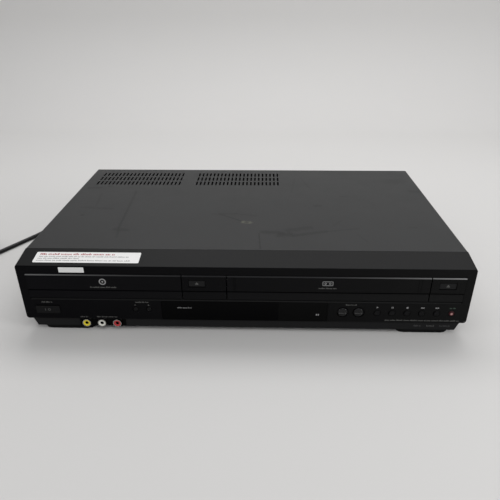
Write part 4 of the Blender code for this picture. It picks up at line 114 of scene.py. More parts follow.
class Signal:
    """What a shader node puts out, written in sums that each add a node to its tree."""

    def __init__(self, socket):
        self.socket = socket

    def made(self, kind, sockets, output=0, **settings):
        """An output of a new node in the same tree."""
        return Signal(add_node(self.socket.id_data, kind, sockets, **settings).outputs[output])

    def work(self, operation, *others):
        """The result of one Math node, or of one Vector Math node unless this is a number."""
        kind = "Math" if self.socket.type == "VALUE" else "VectorMath"
        output = 1 if operation in ("DOT_PRODUCT", "LENGTH") else 0
        return self.made(kind, dict(enumerate((self, *others))), output, operation=operation)

    def clipped(self):
        """This Math node's result, kept between 0 and 1."""
        self.socket.node.use_clamp = True
        return self

    def mix(self, low, high):
        """The colour between two, by this share."""
        return self.made("Mix", {0: self, 6: low, 7: high}, 2, data_type="RGBA")

    def noise(self, scale, detail):
        """The noise at this place."""
        return self.made("TexNoise", {"Vector": self, "Scale": scale, "Detail": detail})

    def parts(self, kind="SeparateXYZ"):
        """The three parts of this vector or colour."""
        split = add_node(self.socket.id_data, kind, {0: self})
        return [Signal(output) for output in split.outputs]

    def feed(self, socket):
        """Joins this to the socket that it feeds."""
        self.socket.id_data.links.new(self.socket, socket)

    def __add__(self, other):
        return self.work("ADD", other)

    def __sub__(self, other):
        return self.work("SUBTRACT", other)

    def __rsub__(self, other):
        return self.made("Math", {0: other, 1: self}, operation="SUBTRACT")

    def __mul__(self, other):
        return self.work("MULTIPLY", other)

    def __truediv__(self, other):
        return self.work("DIVIDE", other)

    def __rtruediv__(self, other):
        return self.made("Math", {0: other, 1: self}, operation="DIVIDE")

    def __lt__(self, other):
        return self.work("LESS_THAN", other)

    def __gt__(self, other):
        return self.work("GREATER_THAN", other)

    def __abs__(self):
        return self.work("ABSOLUTE")


def shader_of(material):
    """The sockets of a material's shader."""
    return material.node_tree.nodes["Principled BSDF"].inputs


edge = [(FLOOR_FRONT, 0), (BACKDROP_START, 0)]
for i in range(1, BEND_STEPS + 1):
    angle = math.pi / 2 * i / BEND_STEPS
    across = BACKDROP_START + BACKDROP_BEND * math.sin(angle)
    edge.append((across, BACKDROP_BEND * (1 - math.cos(angle))))
edge.append((BACKDROP_START + BACKDROP_BEND, BACKDROP_HEIGHT))
sheet_mesh = bpy.data.meshes.new("studio_floor")
sheet_corners = [(side * FLOOR_REACH, y, z) for y, z in edge for side in (-1, 1)]
sheet_faces = [(2 * i, 2 * i + 1, 2 * i + 3, 2 * i + 2) for i in range(len(edge) - 1)]
sheet_mesh.from_pydata(sheet_corners, [], sheet_faces)
sheet_mesh.shade_smooth()
studio_floor = placed("studio_floor", sheet_mesh)
floor_material = bpy.data.materials.new("studio_floor")
floor_material.use_nodes = True
floor_shader = shader_of(floor_material)
floor_shader["Roughness"].default_value = FLOOR_ROUGHNESS
floor_shader["Specular IOR Level"].default_value = FLOOR_SPECULAR
mottle = add_node(floor_material.node_tree, "TexNoise", FLOOR_NOISE)
Signal(mottle.outputs[0]).mix(*FLOOR_TONES).feed(floor_shader["Base Color"])
sheet_mesh.materials.append(floor_material)
world = bpy.data.worlds.new("room")
world.use_nodes = True
world.node_tree.nodes["Background"].inputs["Color"].default_value = WORLD_COLOUR
world.node_tree.nodes["Background"].inputs["Strength"].default_value = WORLD_STRENGTH
scene.world = world
for name, place, aim, size, power in LAMPS:
    lamp = bpy.data.lights.new(name, "AREA")
    lamp.shape = "RECTANGLE"
    lamp.size, lamp.size_y = size
    lamp.energy = power
    holder = placed(name, lamp)
    holder.location = place
    holder.rotation_euler = (Vector(aim) - Vector(place)).to_track_quat("-Z", "Y").to_euler()

# The mains lead: black round flex of 5 mm that leaves the sleeve in the back, bends down to the
# floor and runs forward past the left side. The length that the view leaves out lies in a coil
# of two layers, and ends in a moulded plug with two blades.
CORD_RADIUS = 0.0025
CORD_STEP = 0.0085
SLEEVE_END = (-0.187, 0.1514, 0.020)
CORD_ROUTE = (
    (-0.1870, 0.1594, 0.0200),
    (-0.1875, 0.1690, 0.0180),
    (-0.1915, 0.1815, 0.0125),
    (-0.2005, 0.1930, 0.0070),
    (-0.2140, 0.1995, 0.0036),
    (-0.2295, 0.1970, 0.0026),
    (-0.2430, 0.1860, 0.0025),
    (-0.2545, 0.1665, 0.0025),
    (-0.2640, 0.1425, 0.0025),
    (-0.2735, 0.1180, 0.0025),
    (-0.2835, 0.0950, 0.0025),
    (-0.2927, 0.0753, 0.0025),
    (-0.3070, 0.0500, 0.0025),
    (-0.3216, 0.0244, 0.0025),
)
COIL_START = (-0.3361, -0.0018, 0.0025)
COIL_HEADING = math.radians(240.6)
COIL_OUTER_RADIUS = 0.0365
COIL_PITCH = 0.0062
COIL_LAYER_RISE = 0.0056
COIL_LAYER_TURNS = 3.25
COIL_CLIMB_TURNS = 0.5
COIL_POINTS = 24
COIL_TAIL = 0.026


def smooth_route(places, step):
    """Points about a step apart on a smooth curve through the places."""
    spots = [Vector(place) for place in places]
    spots = [2 * spots[0] - spots[1]] + spots + [2 * spots[-1] - spots[-2]]
    points = []
    for a, b, c, d in zip(spots, spots[1:], spots[2:], spots[3:]):
        steps = max(1, round((c - b).length / step))
        for i in range(steps):
            done = i / steps
            near = b.lerp(c, done)
            early = a.lerp(b, done + 1).lerp(near, (done + 1) / 2)
            late = near.lerp(c.lerp(d, done - 1), done / 2)
            points.append(early.lerp(late, done))
    return points + [spots[-2]]


def wire(name, points, radius, material, sides=4):
    """A round wire along its points, fixed to the case."""
    curve = bpy.data.curves.new(name, "CURVE")
    curve.dimensions = "3D"
    curve.bevel_depth = radius
    curve.bevel_resolution = sides
    curve.use_fill_caps = True
    line = curve.splines.new("POLY")
    line.points.add(len(points) - 1)
    for spot, point in zip(line.points, points):
        spot.co = (*point, 1)
    curve.materials.append(material)
    made = placed(name, curve)
    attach(made, "case")
    return made


def place_in(tree):
    """The point that is shaded, in the player's own frame."""
    return Signal(add_node(tree, "TexCoord").outputs["Object"])


def new_group(name, inputs, outputs):
    """A shader group with the sockets named: itself, the point shaded, what comes and goes."""
    group = bpy.data.node_groups.new(name, "ShaderNodeTree")
    for way, sockets in (("INPUT", inputs), ("OUTPUT", outputs)):
        for label, kind in sockets.items():
            group.interface.new_socket(label, in_out=way, socket_type="NodeSocket" + kind)
    coming = {socket.name: Signal(socket) for socket in group.nodes.new("NodeGroupInput").outputs}
    return group, place_in(group), coming, group.nodes.new("NodeGroupOutput").inputs


# Fine surface: a grain of its own size for the bump and the gloss, and broad soft patches that
# shift the colour and the gloss, as handling and dust do on moulded and painted pieces.
GRAIN_DETAIL = 2
PATCH_DETAIL = 5
fine_surface, place, coming, going = new_group(
    "fine_surface",
    {
        "Colour": "Color", "Roughness": "Float", "Grain Size": "Float", "Grain": "Float",
        "Patch Size": "Float", "Patch": "Float", "Stretch": "Vector",
    },
    {"Base Color": "Color", "Roughness": "Float", "Height": "Float"},
)
grain = (place * coming["Stretch"]).noise(1.0 / coming["Grain Size"], GRAIN_DETAIL)
patch = place.noise(1.0 / coming["Patch Size"], PATCH_DETAIL)
both = (grain - 0.5) * coming["Grain"] + (patch - 0.5) * coming["Patch"]
grain.made(
    "HueSaturation", {"Color": coming["Colour"], "Value": both * 2.0 + 1.0}
).feed(going["Base Color"])
(coming["Roughness"] + both).clipped().feed(going["Roughness"])
grain.feed(going["Height"])


def dress(material, *names):
    """Gives the material to CAD pieces."""
    for name in names:
        nodes[name].material_slots[0].material = material


def surfaced(name, group, values, bump, dressed, **shader_values):
    """A material fed by a surface group, with the group's height as its bump, for CAD pieces."""
    material = bpy.data.materials.new(name)
    material.use_nodes = True
    tree = material.node_tree
    shader = shader_of(material)
    surface = add_node(tree, "Group", values, node_tree=group)
    for output in surface.outputs:
        if output.name in shader:
            tree.links.new(output, shader[output.name])
    raised = add_node(tree, "Bump", {"Height": surface.outputs["Height"], "Distance": bump})
    tree.links.new(raised.outputs[0], shader["Normal"])
    for label, value in shader_values.items():
        shader[label.replace("_", " ").title().replace("Ior", "IOR")].default_value = value
    dress(material, *dressed)
    return material


def finish(name, colour, roughness, *dressed, grain=0.1, grain_size=0.0005, patch=0.1,
           patch_size=0.04, bump=0.00002, stretch=(1, 1, 1), **shader_values):
    """A material of moulded or painted pieces, made with the fine surface group."""
    values = {"Colour": (*colour, 1), "Roughness": roughness, "Stretch": stretch}
    values.update({"Grain Size": grain_size, "Grain": grain})
    values.update({"Patch Size": patch_size, "Patch": patch})
    return surfaced(name, fine_surface, values, bump, dressed, **shader_values)


cord_black = finish(
    "cord_black", (0.008, 0.008, 0.0085), 0.40, "strain_relief", grain=0.15, grain_size=0.0012,
    bump=0.00003, specular_ior_level=0.25,
)
heading = Vector((math.cos(COIL_HEADING), math.sin(COIL_HEADING), 0))
inward = Vector((heading.y, -heading.x, 0))
coil_middle = Vector(COIL_START) + inward * COIL_OUTER_RADIUS
first_angle = math.atan2(-inward.y, -inward.x)
coil_turns = 2 * COIL_LAYER_TURNS + COIL_CLIMB_TURNS
coil_count = round(coil_turns * COIL_POINTS)
coil = [Vector(COIL_START) - heading * 2 * CORD_RADIUS]
for i in range(coil_count + 1):
    done = coil_turns * i / coil_count
    climb = min(max((done - COIL_LAYER_TURNS) / COIL_CLIMB_TURNS, 0), 1)
    unwound = max(done - COIL_LAYER_TURNS - COIL_CLIMB_TURNS, 0)
    radius = COIL_OUTER_RADIUS - COIL_PITCH * (min(done, COIL_LAYER_TURNS) - unwound)
    angle = first_angle - 2 * math.pi * done
    outward = Vector((math.cos(angle), math.sin(angle), 0))
    coil.append(coil_middle + outward * radius + Vector((0, 0, COIL_LAYER_RISE * climb)))
end_angle = first_angle - 2 * math.pi * coil_turns
end_heading = Vector((math.sin(end_angle), -math.cos(end_angle), 0))
coil.append(coil[-1] + end_heading * COIL_TAIL)
lead = smooth_route((SLEEVE_END, *CORD_ROUTE, tuple(coil[0])), CORD_STEP)
mains_cord = wire("mains_cord", lead + coil[1:], CORD_RADIUS, cord_black)
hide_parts("mains_cord_lead", "mains_cord_coil")

# The top cover: folded sheet steel with a satin dark grey paint, which has a few rubs and
# scratches from use. Screws hold it to the bottom at its sides and to the back by its lip.
COVER_SKIN = 0.0002
VENT_LEVEL = 0.0770
# Painted shade: the near black of the vents' walls and of the cover's underside.
VENT_SHADE_BLACK = (0.003, 0.003, 0.003)
COVER_GREY = (0.026, 0.0265, 0.027)
SCUFF_DARK = (0.007, 0.007, 0.0075)
SCUFF_PALE = (0.11, 0.11, 0.085)
SCUFF_SPREAD = 1.7
SCUFF_STRENGTH = 0.75
SCUFF_FADE = 1.6
SCUFF_NOISE = (260, 4)  # scale, detail
SCUFFS = (
    # from x, y, to x, y, width, strength, colour
    (-0.2038, 0.0561, -0.1899, 0.0569, 0.0030, 0.85, SCUFF_DARK),
    (-0.1792, 0.0621, -0.1767, 0.0621, 0.0022, 0.95, SCUFF_DARK),
    (-0.1405, 0.0447, -0.1350, -0.0612, 0.0015, 0.75, SCUFF_DARK),
    (-0.1350, -0.0612, -0.1312, -0.0851, 0.0012, 0.60, SCUFF_DARK),
    (-0.1821, 0.0388, -0.1771, -0.0030, 0.0012, 0.45, SCUFF_DARK),
    (-0.1930, -0.0070, -0.1570, -0.0109, 0.0028, 0.50, SCUFF_DARK),
    (-0.1855, -0.0298, -0.1837, -0.0298, 0.0020, 1.00, SCUFF_DARK),
    (-0.1379, -0.0659, -0.1262, -0.0672, 0.0034, 0.60, SCUFF_DARK),
    (-0.0041, -0.0440, -0.0315, -0.0237, 0.0014, 0.90, SCUFF_DARK),
    (-0.0384, -0.0238, -0.0127, -0.0225, 0.0018, 0.60, SCUFF_DARK),
    (-0.0127, -0.0225, 0.0098, -0.0289, 0.0016, 0.55, SCUFF_DARK),
    (-0.0028, -0.0449, 0.0021, -0.0463, 0.0030, 1.00, SCUFF_PALE),
    (-0.0008, -0.0452, 0.0008, -0.0460, 0.0018, 1.00, SCUFF_DARK),
    (0.0136, -0.0735, 0.0152, -0.1077, 0.0008, 0.75, SCUFF_DARK),
    (0.0176, -0.0698, 0.0373, -0.0716, 0.0036, 0.70, SCUFF_DARK),
    (0.0352, -0.0778, 0.0453, -0.0743, 0.0050, 0.70, SCUFF_DARK),
    (0.0443, -0.0649, 0.0675, -0.0583, 0.0040, 0.55, SCUFF_DARK),
    (0.0487, -0.0782, 0.0834, -0.0676, 0.0028, 0.65, SCUFF_DARK),
    (0.0834, -0.0676, 0.1180, -0.0602, 0.0018, 0.50, SCUFF_DARK),
    (0.0774, 0.0014, 0.0837, 0.0020, 0.0026, 0.80, SCUFF_DARK),
    (0.1731, -0.0560, 0.1791, -0.0556, 0.0022, 0.60, SCUFF_DARK),
    (0.0668, 0.0966, 0.0774, 0.0549, 0.0013, 0.40, SCUFF_DARK),
    (0.0593, 0.0965, 0.0523, 0.0447, 0.0013, 0.35, SCUFF_DARK),
    (0.1733, 0.0873, 0.1953, 0.0877, 0.0100, 0.40, SCUFF_DARK),
    (0.2011, 0.0500, 0.2127, 0.0483, 0.0040, 0.50, SCUFF_DARK),
    (0.0924, -0.0536, 0.1033, -0.0389, 0.0014, 0.35, SCUFF_DARK),
    (0.1150, -0.0737, 0.1215, -0.0897, 0.0013, 0.35, SCUFF_DARK),
    (0.1110, 0.0306, 0.1178, 0.0308, 0.0024, 0.45, SCUFF_DARK),
)
RUB_WIDTH = 0.0010
RUB_NOISE = (340, 3)  # scale, detail
RUB_GREY = (0.06, 0.06, 0.06)

# Scuff: the mask of one rub or scratch, from the distance to a straight line on the top.
scuff, place, coming, going = new_group(
    "scuff", {"From": "Vector", "To": "Vector", "Width": "Float"}, {"Mask": "Float"}
)
from_start = place * (1, 1, 0) - coming["From"]
whole = coming["To"] - coming["From"]
share = from_start.work("DOT_PRODUCT", whole) / whole.work("DOT_PRODUCT", whole)
off = (from_start - whole * share.clipped()).work("LENGTH")
reach = coming["Width"] * place.noise(*SCUFF_NOISE)
((SCUFF_FADE - off / reach).clipped() * (place.parts()[2] > VENT_LEVEL)).feed(going["Mask"])


def add_mask(material, mask, colour):
    """Lays a colour over a material's own where the mask is."""
    base = shader_of(material)["Base Color"]
    mask.mix(base.links[0].from_socket, (*colour, 1)).feed(base)


cover_paint = finish(
    "cover_paint", COVER_GREY, 0.40, "top_cover", grain_size=0.0007, patch=0.26,
    patch_size=0.06, bump=0.000012, specular_ior_level=0.15,
)
for *line, width, strength, colour in SCUFFS:
    values = {"From": (*line[:2], 0), "To": (*line[2:], 0), "Width": SCUFF_SPREAD * width}
    mark = add_node(cover_paint.node_tree, "Group", values, node_tree=scuff).outputs["Mask"]
    add_mask(cover_paint, Signal(mark) * (SCUFF_STRENGTH * strength), colour)

# The walls of the vents and the cover's underside, just under its skin, are painted near black
# as shade. The cover's long edges are rubbed to a paler grey, by the second smallest of the
# distances from its sides.
place = place_in(cover_paint.node_tree)
z = place.parts()[2]
lowest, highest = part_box("top_cover")
add_mask(cover_paint, (z < highest.z - COVER_SKIN) * (z > VENT_LEVEL), VENT_SHADE_BLACK)
off = abs(place - (lowest + highest) / 2) - (highest - lowest) / 2
x, y, z = (off * (-1, -1, -1)).parts()
from_edge = x.work("MINIMUM", y).work("MAXIMUM", x.work("MAXIMUM", y).work("MINIMUM", z))
rubbed = 1.0 - from_edge / (place.noise(*RUB_NOISE) * RUB_WIDTH)
add_mask(cover_paint, rubbed.clipped(), RUB_GREY)

# The screws: black pan heads with a cross recess. Two at each side and three in the lip hold
# the cover; more hold the back and the bottom.
SCREW_RADIUS = 0.0034
SCREW_HEIGHT = 0.0018
SCREW_SIDES = 32
SCREW_PROFILE = (
    # shares of the radius and the height
    (1, 0), (1, 0.45), (0.93, 0.75), (0.72, 1),
)
RECESS_REACH = 0.0019
RECESS_HALF = 0.00042
RECESS_DEPTH = 0.0011
COVER_SCREWS = (
    # place, the way that the head faces
    ((-0.2146, -0.062, 0.0135), (-1, 0, 0)),
    ((-0.2146, 0.088, 0.0135), (-1, 0, 0)),
    ((0.2146, -0.062, 0.0135), (1, 0, 0)),
    ((0.2146, 0.088, 0.0135), (1, 0, 0)),
    ((-0.150, 0.1291, 0.0730), (0, 1, 0)),
    ((0.000, 0.1291, 0.0730), (0, 1, 0)),
    ((0.150, 0.1291, 0.0730), (0, 1, 0)),
)


def spun(work, profile, sides, turn, open_ended=False):
    """Adds a shape turned on Z from (radius, height) pairs, then put in its place."""
    rings = []
    for radius, height in profile:
        ring = []
        for i in range(sides if radius else 1):
            angle = 2 * math.pi * i / sides
            spot = Vector((radius * math.cos(angle), radius * math.sin(angle), height))
            ring.append(work.verts.new(turn @ spot))
        rings.append(ring)
    for below, above in zip(rings, rings[1:]):
        for i in range(sides):
            corners = [below[i % len(below)], below[(i + 1) % len(below)]]
            corners += [above[(i + 1) % len(above)], above[i % len(above)]]
            corners = list(dict.fromkeys(corners))
            if len(corners) > 2:
                work.faces.new(corners)
    for ring in () if open_ended else (rings[0], rings[-1]):
        if len(ring) > 1:
            work.faces.new(ring)
    return rings


def piece(name, work, material, body="case", angle=35):
    """A named piece of the work, which rides on a body and wears the material given."""
    bmesh.ops.recalc_face_normals(work, faces=work.faces)
    mesh = bpy.data.meshes.new(name)
    work.to_mesh(mesh)
    work.free()
    mesh.shade_smooth()
    mesh.set_sharp_from_angle(angle=math.radians(angle))
    mesh.materials.append(material)
    made = placed(name, mesh)
    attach(made, body)


def facing(place, way):
    """The placing that stands a shape's Z axis on a place and turns it the way given."""
    turn = Vector(way).to_track_quat("Z", "Y").to_matrix().to_4x4()
    return Matrix.Translation(place) @ turn


def screw_heads(name, places, material):
    """Pan heads, each with a cross recess made of four walls round a sunk floor."""
    profile = [(SCREW_RADIUS * wide, SCREW_HEIGHT * tall) for wide, tall in SCREW_PROFILE]
    half_step = Matrix.Rotation(math.pi / SCREW_SIDES, 4, "Z")
    arm = ((RECESS_HALF, RECESS_HALF), (RECESS_HALF, RECESS_REACH), (-RECESS_HALF, RECESS_REACH))
    quarters = [Matrix.Rotation(math.pi / 2 * quarter, 4, "Z") for quarter in range(4)]
    cross = [spin @ Vector((x, y, 0)) for spin in quarters for x, y in arm]
    work = bmesh.new()
    for spot, way in places:
        turn = facing(spot, way)
        rings = spun(work, profile, SCREW_SIDES, turn @ half_step, open_ended=True)
        rim, floor = (
            [work.verts.new(turn @ (corner + Vector((0, 0, height)))) for corner in cross]
            for height in (SCREW_HEIGHT, SCREW_HEIGHT - RECESS_DEPTH)
        )
        edges = []
        for ring in (rings[-1], rim):
            for a, b in zip(ring, ring[1:] + ring[:1]):
                edges.append(work.edges.get((a, b)) or work.edges.new((a, b)))
        bmesh.ops.triangle_fill(work, edges=edges, use_beauty=True)
        for i in range(len(rim)):
            j = (i + 1) % len(rim)
            work.faces.new((rim[i], rim[j], floor[j], floor[i]))
        work.faces.new(floor)
        work.faces.new(rings[0])
    piece(name, work, material, angle=40)


black_screw = finish("black_screw", (0.03, 0.03, 0.032), 0.35, metallic=0.6, bump=0.00001)
screw_heads("cover_screws", COVER_SCREWS, black_screw)

# The front: one black moulding with a satin top that slopes down to it; the slope is painted a
# paler black for the reflection it catches. Its bottom edge is a recessed strip of the same
# black, painted paler for the reflection of the floor, except at the jacks' slot, which stays
# deep black. It clips onto the bottom and carries the buttons.
FRONT = -0.1369
PROUD = FRONT - 0.0003
STRIP_TOP = 0.0149
FRONT_TOP = 0.0741
JACK_SLOT = (-0.1400, 0.0230)  # middle, reach
FRONT_BLACK = (0.0012, 0.0011, 0.0018)
FRONT_LIT_BLACK = (0.0060, 0.0060, 0.0060)
DEEP_BLACK = (0.0008, 0.0008, 0.0008)
# Painted reflection: paler blacks for the slope and the bottom strip, which are the same
# moulding.
SLOPE_REFLECTION_GREY = (0.013, 0.013, 0.0132, 1)
STRIP_REFLECTION_GREY = (0.0130, 0.0130, 0.0134, 1)
# Painted light: the front grows paler toward the right, and more so below the doors' grooves.
PAINTED_LIGHT_RISE = 2.3
GROOVE_LEVEL = 0.0469
LOWER_LIGHT_SHARE = 0.12
LOWER_LIGHT_GREY = (0.03, 0.03, 0.03, 1)
# Painted highlights: along the chamfers above the doors, brightest at their ends, and along the
# ledge below.
CHAMFER_LEVELS = (0.0646, 0.0659)
CHAMFER_HIGHLIGHT_RISE = 5.0
CHAMFER_HIGHLIGHT_POWER = 3.0
CHAMFER_HIGHLIGHT_LEFT = 0.5
CHAMFER_HIGHLIGHT_DIM = (0.016, 0.016, 0.017, 1)
CHAMFER_HIGHLIGHT_BRIGHT = (0.22, 0.22, 0.22, 1)
LEDGE_BAND = (0.0377, 0.0007)  # middle, reach
LEDGE_HIGHLIGHT = (0.013, 0.013, 0.013, 1)
DOORS_REACH = 0.2063

# Front painted light: the black of the front, painted paler toward the right where more light
# falls, and a little paler again below the doors' grooves. Painted highlights run along the
# chamfers above the doors, brightest at their outer ends, and along the ledge below the doors.
front_haze, place, coming, going = new_group(
    "front_haze", {"Colour": "Color", "Haze": "Color"}, {"Colour": "Color"}
)
x, y, z = place.parts()
# Painted light: paler toward the right, where more light falls.
rightward_light = (x * PAINTED_LIGHT_RISE + 0.5).clipped()
painted_lit = rightward_light.mix(coming["Colour"], coming["Haze"])
proud = y < PROUD
# Painted light: a little more on the doors' faces below their grooves.
lit_lower = (proud * (z < GROOVE_LEVEL) * rightward_light * LOWER_LIGHT_SHARE).mix(painted_lit, LOWER_LIGHT_GREY)
outward = (abs(x) * CHAMFER_HIGHLIGHT_RISE).clipped()
shine = outward.work("POWER", CHAMFER_HIGHLIGHT_POWER) * (rightward_light * (1 - CHAMFER_HIGHLIGHT_LEFT) + CHAMFER_HIGHLIGHT_LEFT)
# Painted highlight along the chamfers, brighter toward their outer ends and on the right.
chamfer = (z > CHAMFER_LEVELS[0]) * (z < CHAMFER_LEVELS[1]) * proud
with_chamfer_highlight = chamfer.mix(lit_lower, shine.mix(CHAMFER_HIGHLIGHT_DIM, CHAMFER_HIGHLIGHT_BRIGHT))
# Painted highlight: a thin pale line along the ledge below the doors.
ledge_highlight = z.work("COMPARE", *LEDGE_BAND) * (abs(x) < DOORS_REACH) * (y > PROUD)
ledge_highlight.mix(with_chamfer_highlight, LEDGE_HIGHLIGHT).feed(going["Colour"])


def with_painted_light(material, colour, haze):
    """Lays the front's painted light under a material's fine surface, and gives the painted
    colour.
    """
    tree = material.node_tree
    values = {"Colour": (*colour, 1), "Haze": (*haze, 1)}
    painted_lit_colour = Signal(add_node(tree, "Group", values, node_tree=front_haze).outputs[0])
    painted_lit_colour.feed(tree.nodes["Group"].inputs["Colour"])
    return painted_lit_colour


front_plastic = finish(
    "front_plastic", FRONT_BLACK, 0.36, "front_fascia", grain=0.06, grain_size=0.0006,
    patch=0.06, patch_size=0.08, bump=0.000008, specular_ior_level=0.05,
)
tree = front_plastic.node_tree
painted_lit = with_painted_light(front_plastic, FRONT_BLACK, FRONT_LIT_BLACK)
x, y, z = place_in(tree).parts()
# Painted reflection: the strip and the slope get paler blacks than the front; the jacks' slot
# stays deep black.
strip_look = x.work("COMPARE", *JACK_SLOT).mix(STRIP_REFLECTION_GREY, (*DEEP_BLACK, 1))
with_strip = (z < STRIP_TOP).mix(painted_lit, strip_look)
(z > FRONT_TOP).mix(with_strip, SLOPE_REFLECTION_GREY).feed(tree.nodes["Group"].inputs["Colour"])

# The prints on the front: small signs and rows of small blocks by the buttons, in grey inks and
# a green one. They are thin layers that lie on the plastic.
PRINT_DEPTH = 0.00006
PRINT_SINK = 0.00002
CORNERS = ((-1, -1), (1, -1), (1, 1), (-1, 1))
RING_STEPS = 24
BLOCK_WIDTHS = (0.24, 0.52)
BLOCK_HEIGHTS = (0.66, 0.66, 0.74, 1.0)
BLOCK_GAP = 0.22
GROUP_BLOCKS = (3, 8)
GROUP_GAP = 0.45
SIGN = 0.0018
SIGN_Z = 0.0320
PAUSE_BAR = 0.0006
ARROW_STEP = 0.0009
STRIP_SINK = 0.0015
STRIP_Z = 0.0103


def ink(name, colour):
    """The material of a print."""
    return finish("print_" + name, colour, 0.5, grain=0.2, bump=0.000005)


def bars(*rows):
    """The corners of upright rectangles, from (x, z, width, height)."""
    return [
        [(x + side * wide / 2, z + rise * high / 2) for side, rise in CORNERS]
        for x, z, wide, high in rows
    ]


def pointer(x, z, way):
    """The corners of a triangle that points left or right."""
    back = x - way * SIGN / 2
    return [[(back, z - SIGN / 2), (x + way * SIGN / 2, z), (back, z + SIGN / 2)]]


def ring(x, z, outer, inner):
    """The pieces of a ring, or of a disc where the inner radius is 0."""
    parts = []
    for i in range(RING_STEPS):
        a, b = (2 * math.pi * k / RING_STEPS for k in (i, i + 1))
        far = [(x + outer * math.cos(t), z + outer * math.sin(t)) for t in (a, b)]
        near = [(x + inner * math.cos(t), z + inner * math.sin(t)) for t in (b, a)]
        parts.append(far + (near if inner else [(x, z)]))
    return parts


def blocks(*rows):
    """Small blocks in groups, from (start, end, middle, size, seed) for each row."""
    made = []
    for start, end, z, high, seed in rows:
        chance = random.Random(seed)
        while start < end - high:
            for i in range(chance.randint(*GROUP_BLOCKS)):
                wide = high * chance.uniform(*BLOCK_WIDTHS)
                tall = high * chance.choice(BLOCK_HEIGHTS)
                if start + wide < end:
                    made.append((start + wide / 2, z + (tall - high) / 2, wide, tall))
                start += wide + high * BLOCK_GAP
            start += high * GROUP_GAP
    return bars(*made)


def upright(y):
    """The placing of an upright face at a depth."""
    return Matrix.Translation((0, y, 0))


def printed(name, outlines, material, face=upright(FRONT), body="case"):
    """Thin flat prints from outlines in x and z, on the front unless a face is given."""
    work = bmesh.new()
    for outline in outlines:
        near, far = (
            [work.verts.new(face @ Vector((x, y, z))) for x, z in outline]
            for y in (-PRINT_DEPTH, PRINT_SINK)
        )
        work.faces.new(near)
        work.faces.new(far[::-1])
        for i in range(len(near)):
            j = (i + 1) % len(near)
            work.faces.new((near[j], near[i], far[i], far[j]))
    piece(name, work, material, body)


def middle_of(node):
    """The middle of a CAD piece."""
    lowest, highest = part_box(node)
    return (lowest + highest) / 2


print_grey = ink("grey", (0.23, 0.23, 0.23))
print_dim = ink("dim", (0.080, 0.080, 0.076))
print_faint = ink("faint", (0.045, 0.045, 0.045))
face_rows = blocks(
    (-0.1967, -0.1862, 0.0341, 0.0014, 3),
    (-0.1050, -0.0920, 0.0350, 0.0014, 5),
    (0.0976, 0.1079, 0.0346, 0.0014, 7),
    (-0.1611, -0.1536, 0.0173, 0.0013, 9),
    (-0.1448, -0.1245, 0.0175, 0.0013, 11),
    (0.1362, 0.2078, 0.0175, 0.0015, 13),
)
printed("face_print", face_rows, print_dim)
play, pause, stop, rewind, forward, record, minus, plus = (
    middle_of("button_" + key).x
    for key in (
        "play", "pause", "stop", "rewind", "fast_forward", "record", "tracking_minus",
        "tracking_plus",
    )
)
signs = pointer(play, SIGN_Z, 1) + bars(
    (pause - PAUSE_BAR, SIGN_Z, PAUSE_BAR, SIGN),
    (pause + PAUSE_BAR, SIGN_Z, PAUSE_BAR, SIGN),
    (stop, SIGN_Z, SIGN, SIGN),
)
for middle, way in ((rewind, -1), (forward, 1)):
    signs += pointer(middle - ARROW_STEP, SIGN_Z, way) + pointer(middle + ARROW_STEP, SIGN_Z, way)
printed("key_signs", signs, print_grey)
minus_plus = bars(
    (minus, 0.0316, 0.0016, 0.0005),
    (plus, 0.0316, 0.0016, 0.0005),
    (plus, 0.0321, 0.0005, 0.0006),
    (plus, 0.0311, 0.0005, 0.0006),
)
printed("tracking_signs", minus_plus, print_dim)
record_row = blocks((record - 0.0026, record + 0.0030, SIGN_Z, 0.0014, 2))
printed("record_print", record_row, ink("green", (0.035, 0.065, 0.045)))
strip_rows = blocks(
    (0.1659, 0.1728, STRIP_Z, 0.0018, 4),
    (0.1780, 0.1872, STRIP_Z, 0.0018, 6),
    (0.1905, 0.2008, STRIP_Z, 0.0012, 8),
)
printed("strip_print", strip_rows, print_faint, upright(FRONT + STRIP_SINK))

# The slope's label is thin pale paper with round corners, which lies flat on the plastic and
# has rows of blocks in two inks. The plate on the front is a thin white plastic tag.
LABEL_X = (-0.2000, -0.0990)
LABEL_REACH = (0.0054, 0.0212)
LABEL_CORNER = 0.0012
TAG_X = (-0.1737, -0.1498)
TAG_Z = (0.0674, 0.0729)
TAG_CORNER = 0.0005
CORNER_STEPS = 5
SLOPE_START = 0.074
SLOPE_RISE = 0.005 / 0.0268


def round_plate(x, z, corner):
    """The outline of an upright rectangle with round corners."""
    outline = []
    for across, up, start in ((1, 1, 0), (0, 1, 1), (0, 0, 2), (1, 0, 3)):
        middle = (x[across] + corner * (1 - 2 * across), z[up] + corner * (1 - 2 * up))
        for i in range(CORNER_STEPS + 1):
            angle = math.pi / 2 * (start + i / CORNER_STEPS)
            spot = (middle[0] + corner * math.cos(angle), middle[1] + corner * math.sin(angle))
            outline.append(spot)
    return [outline]


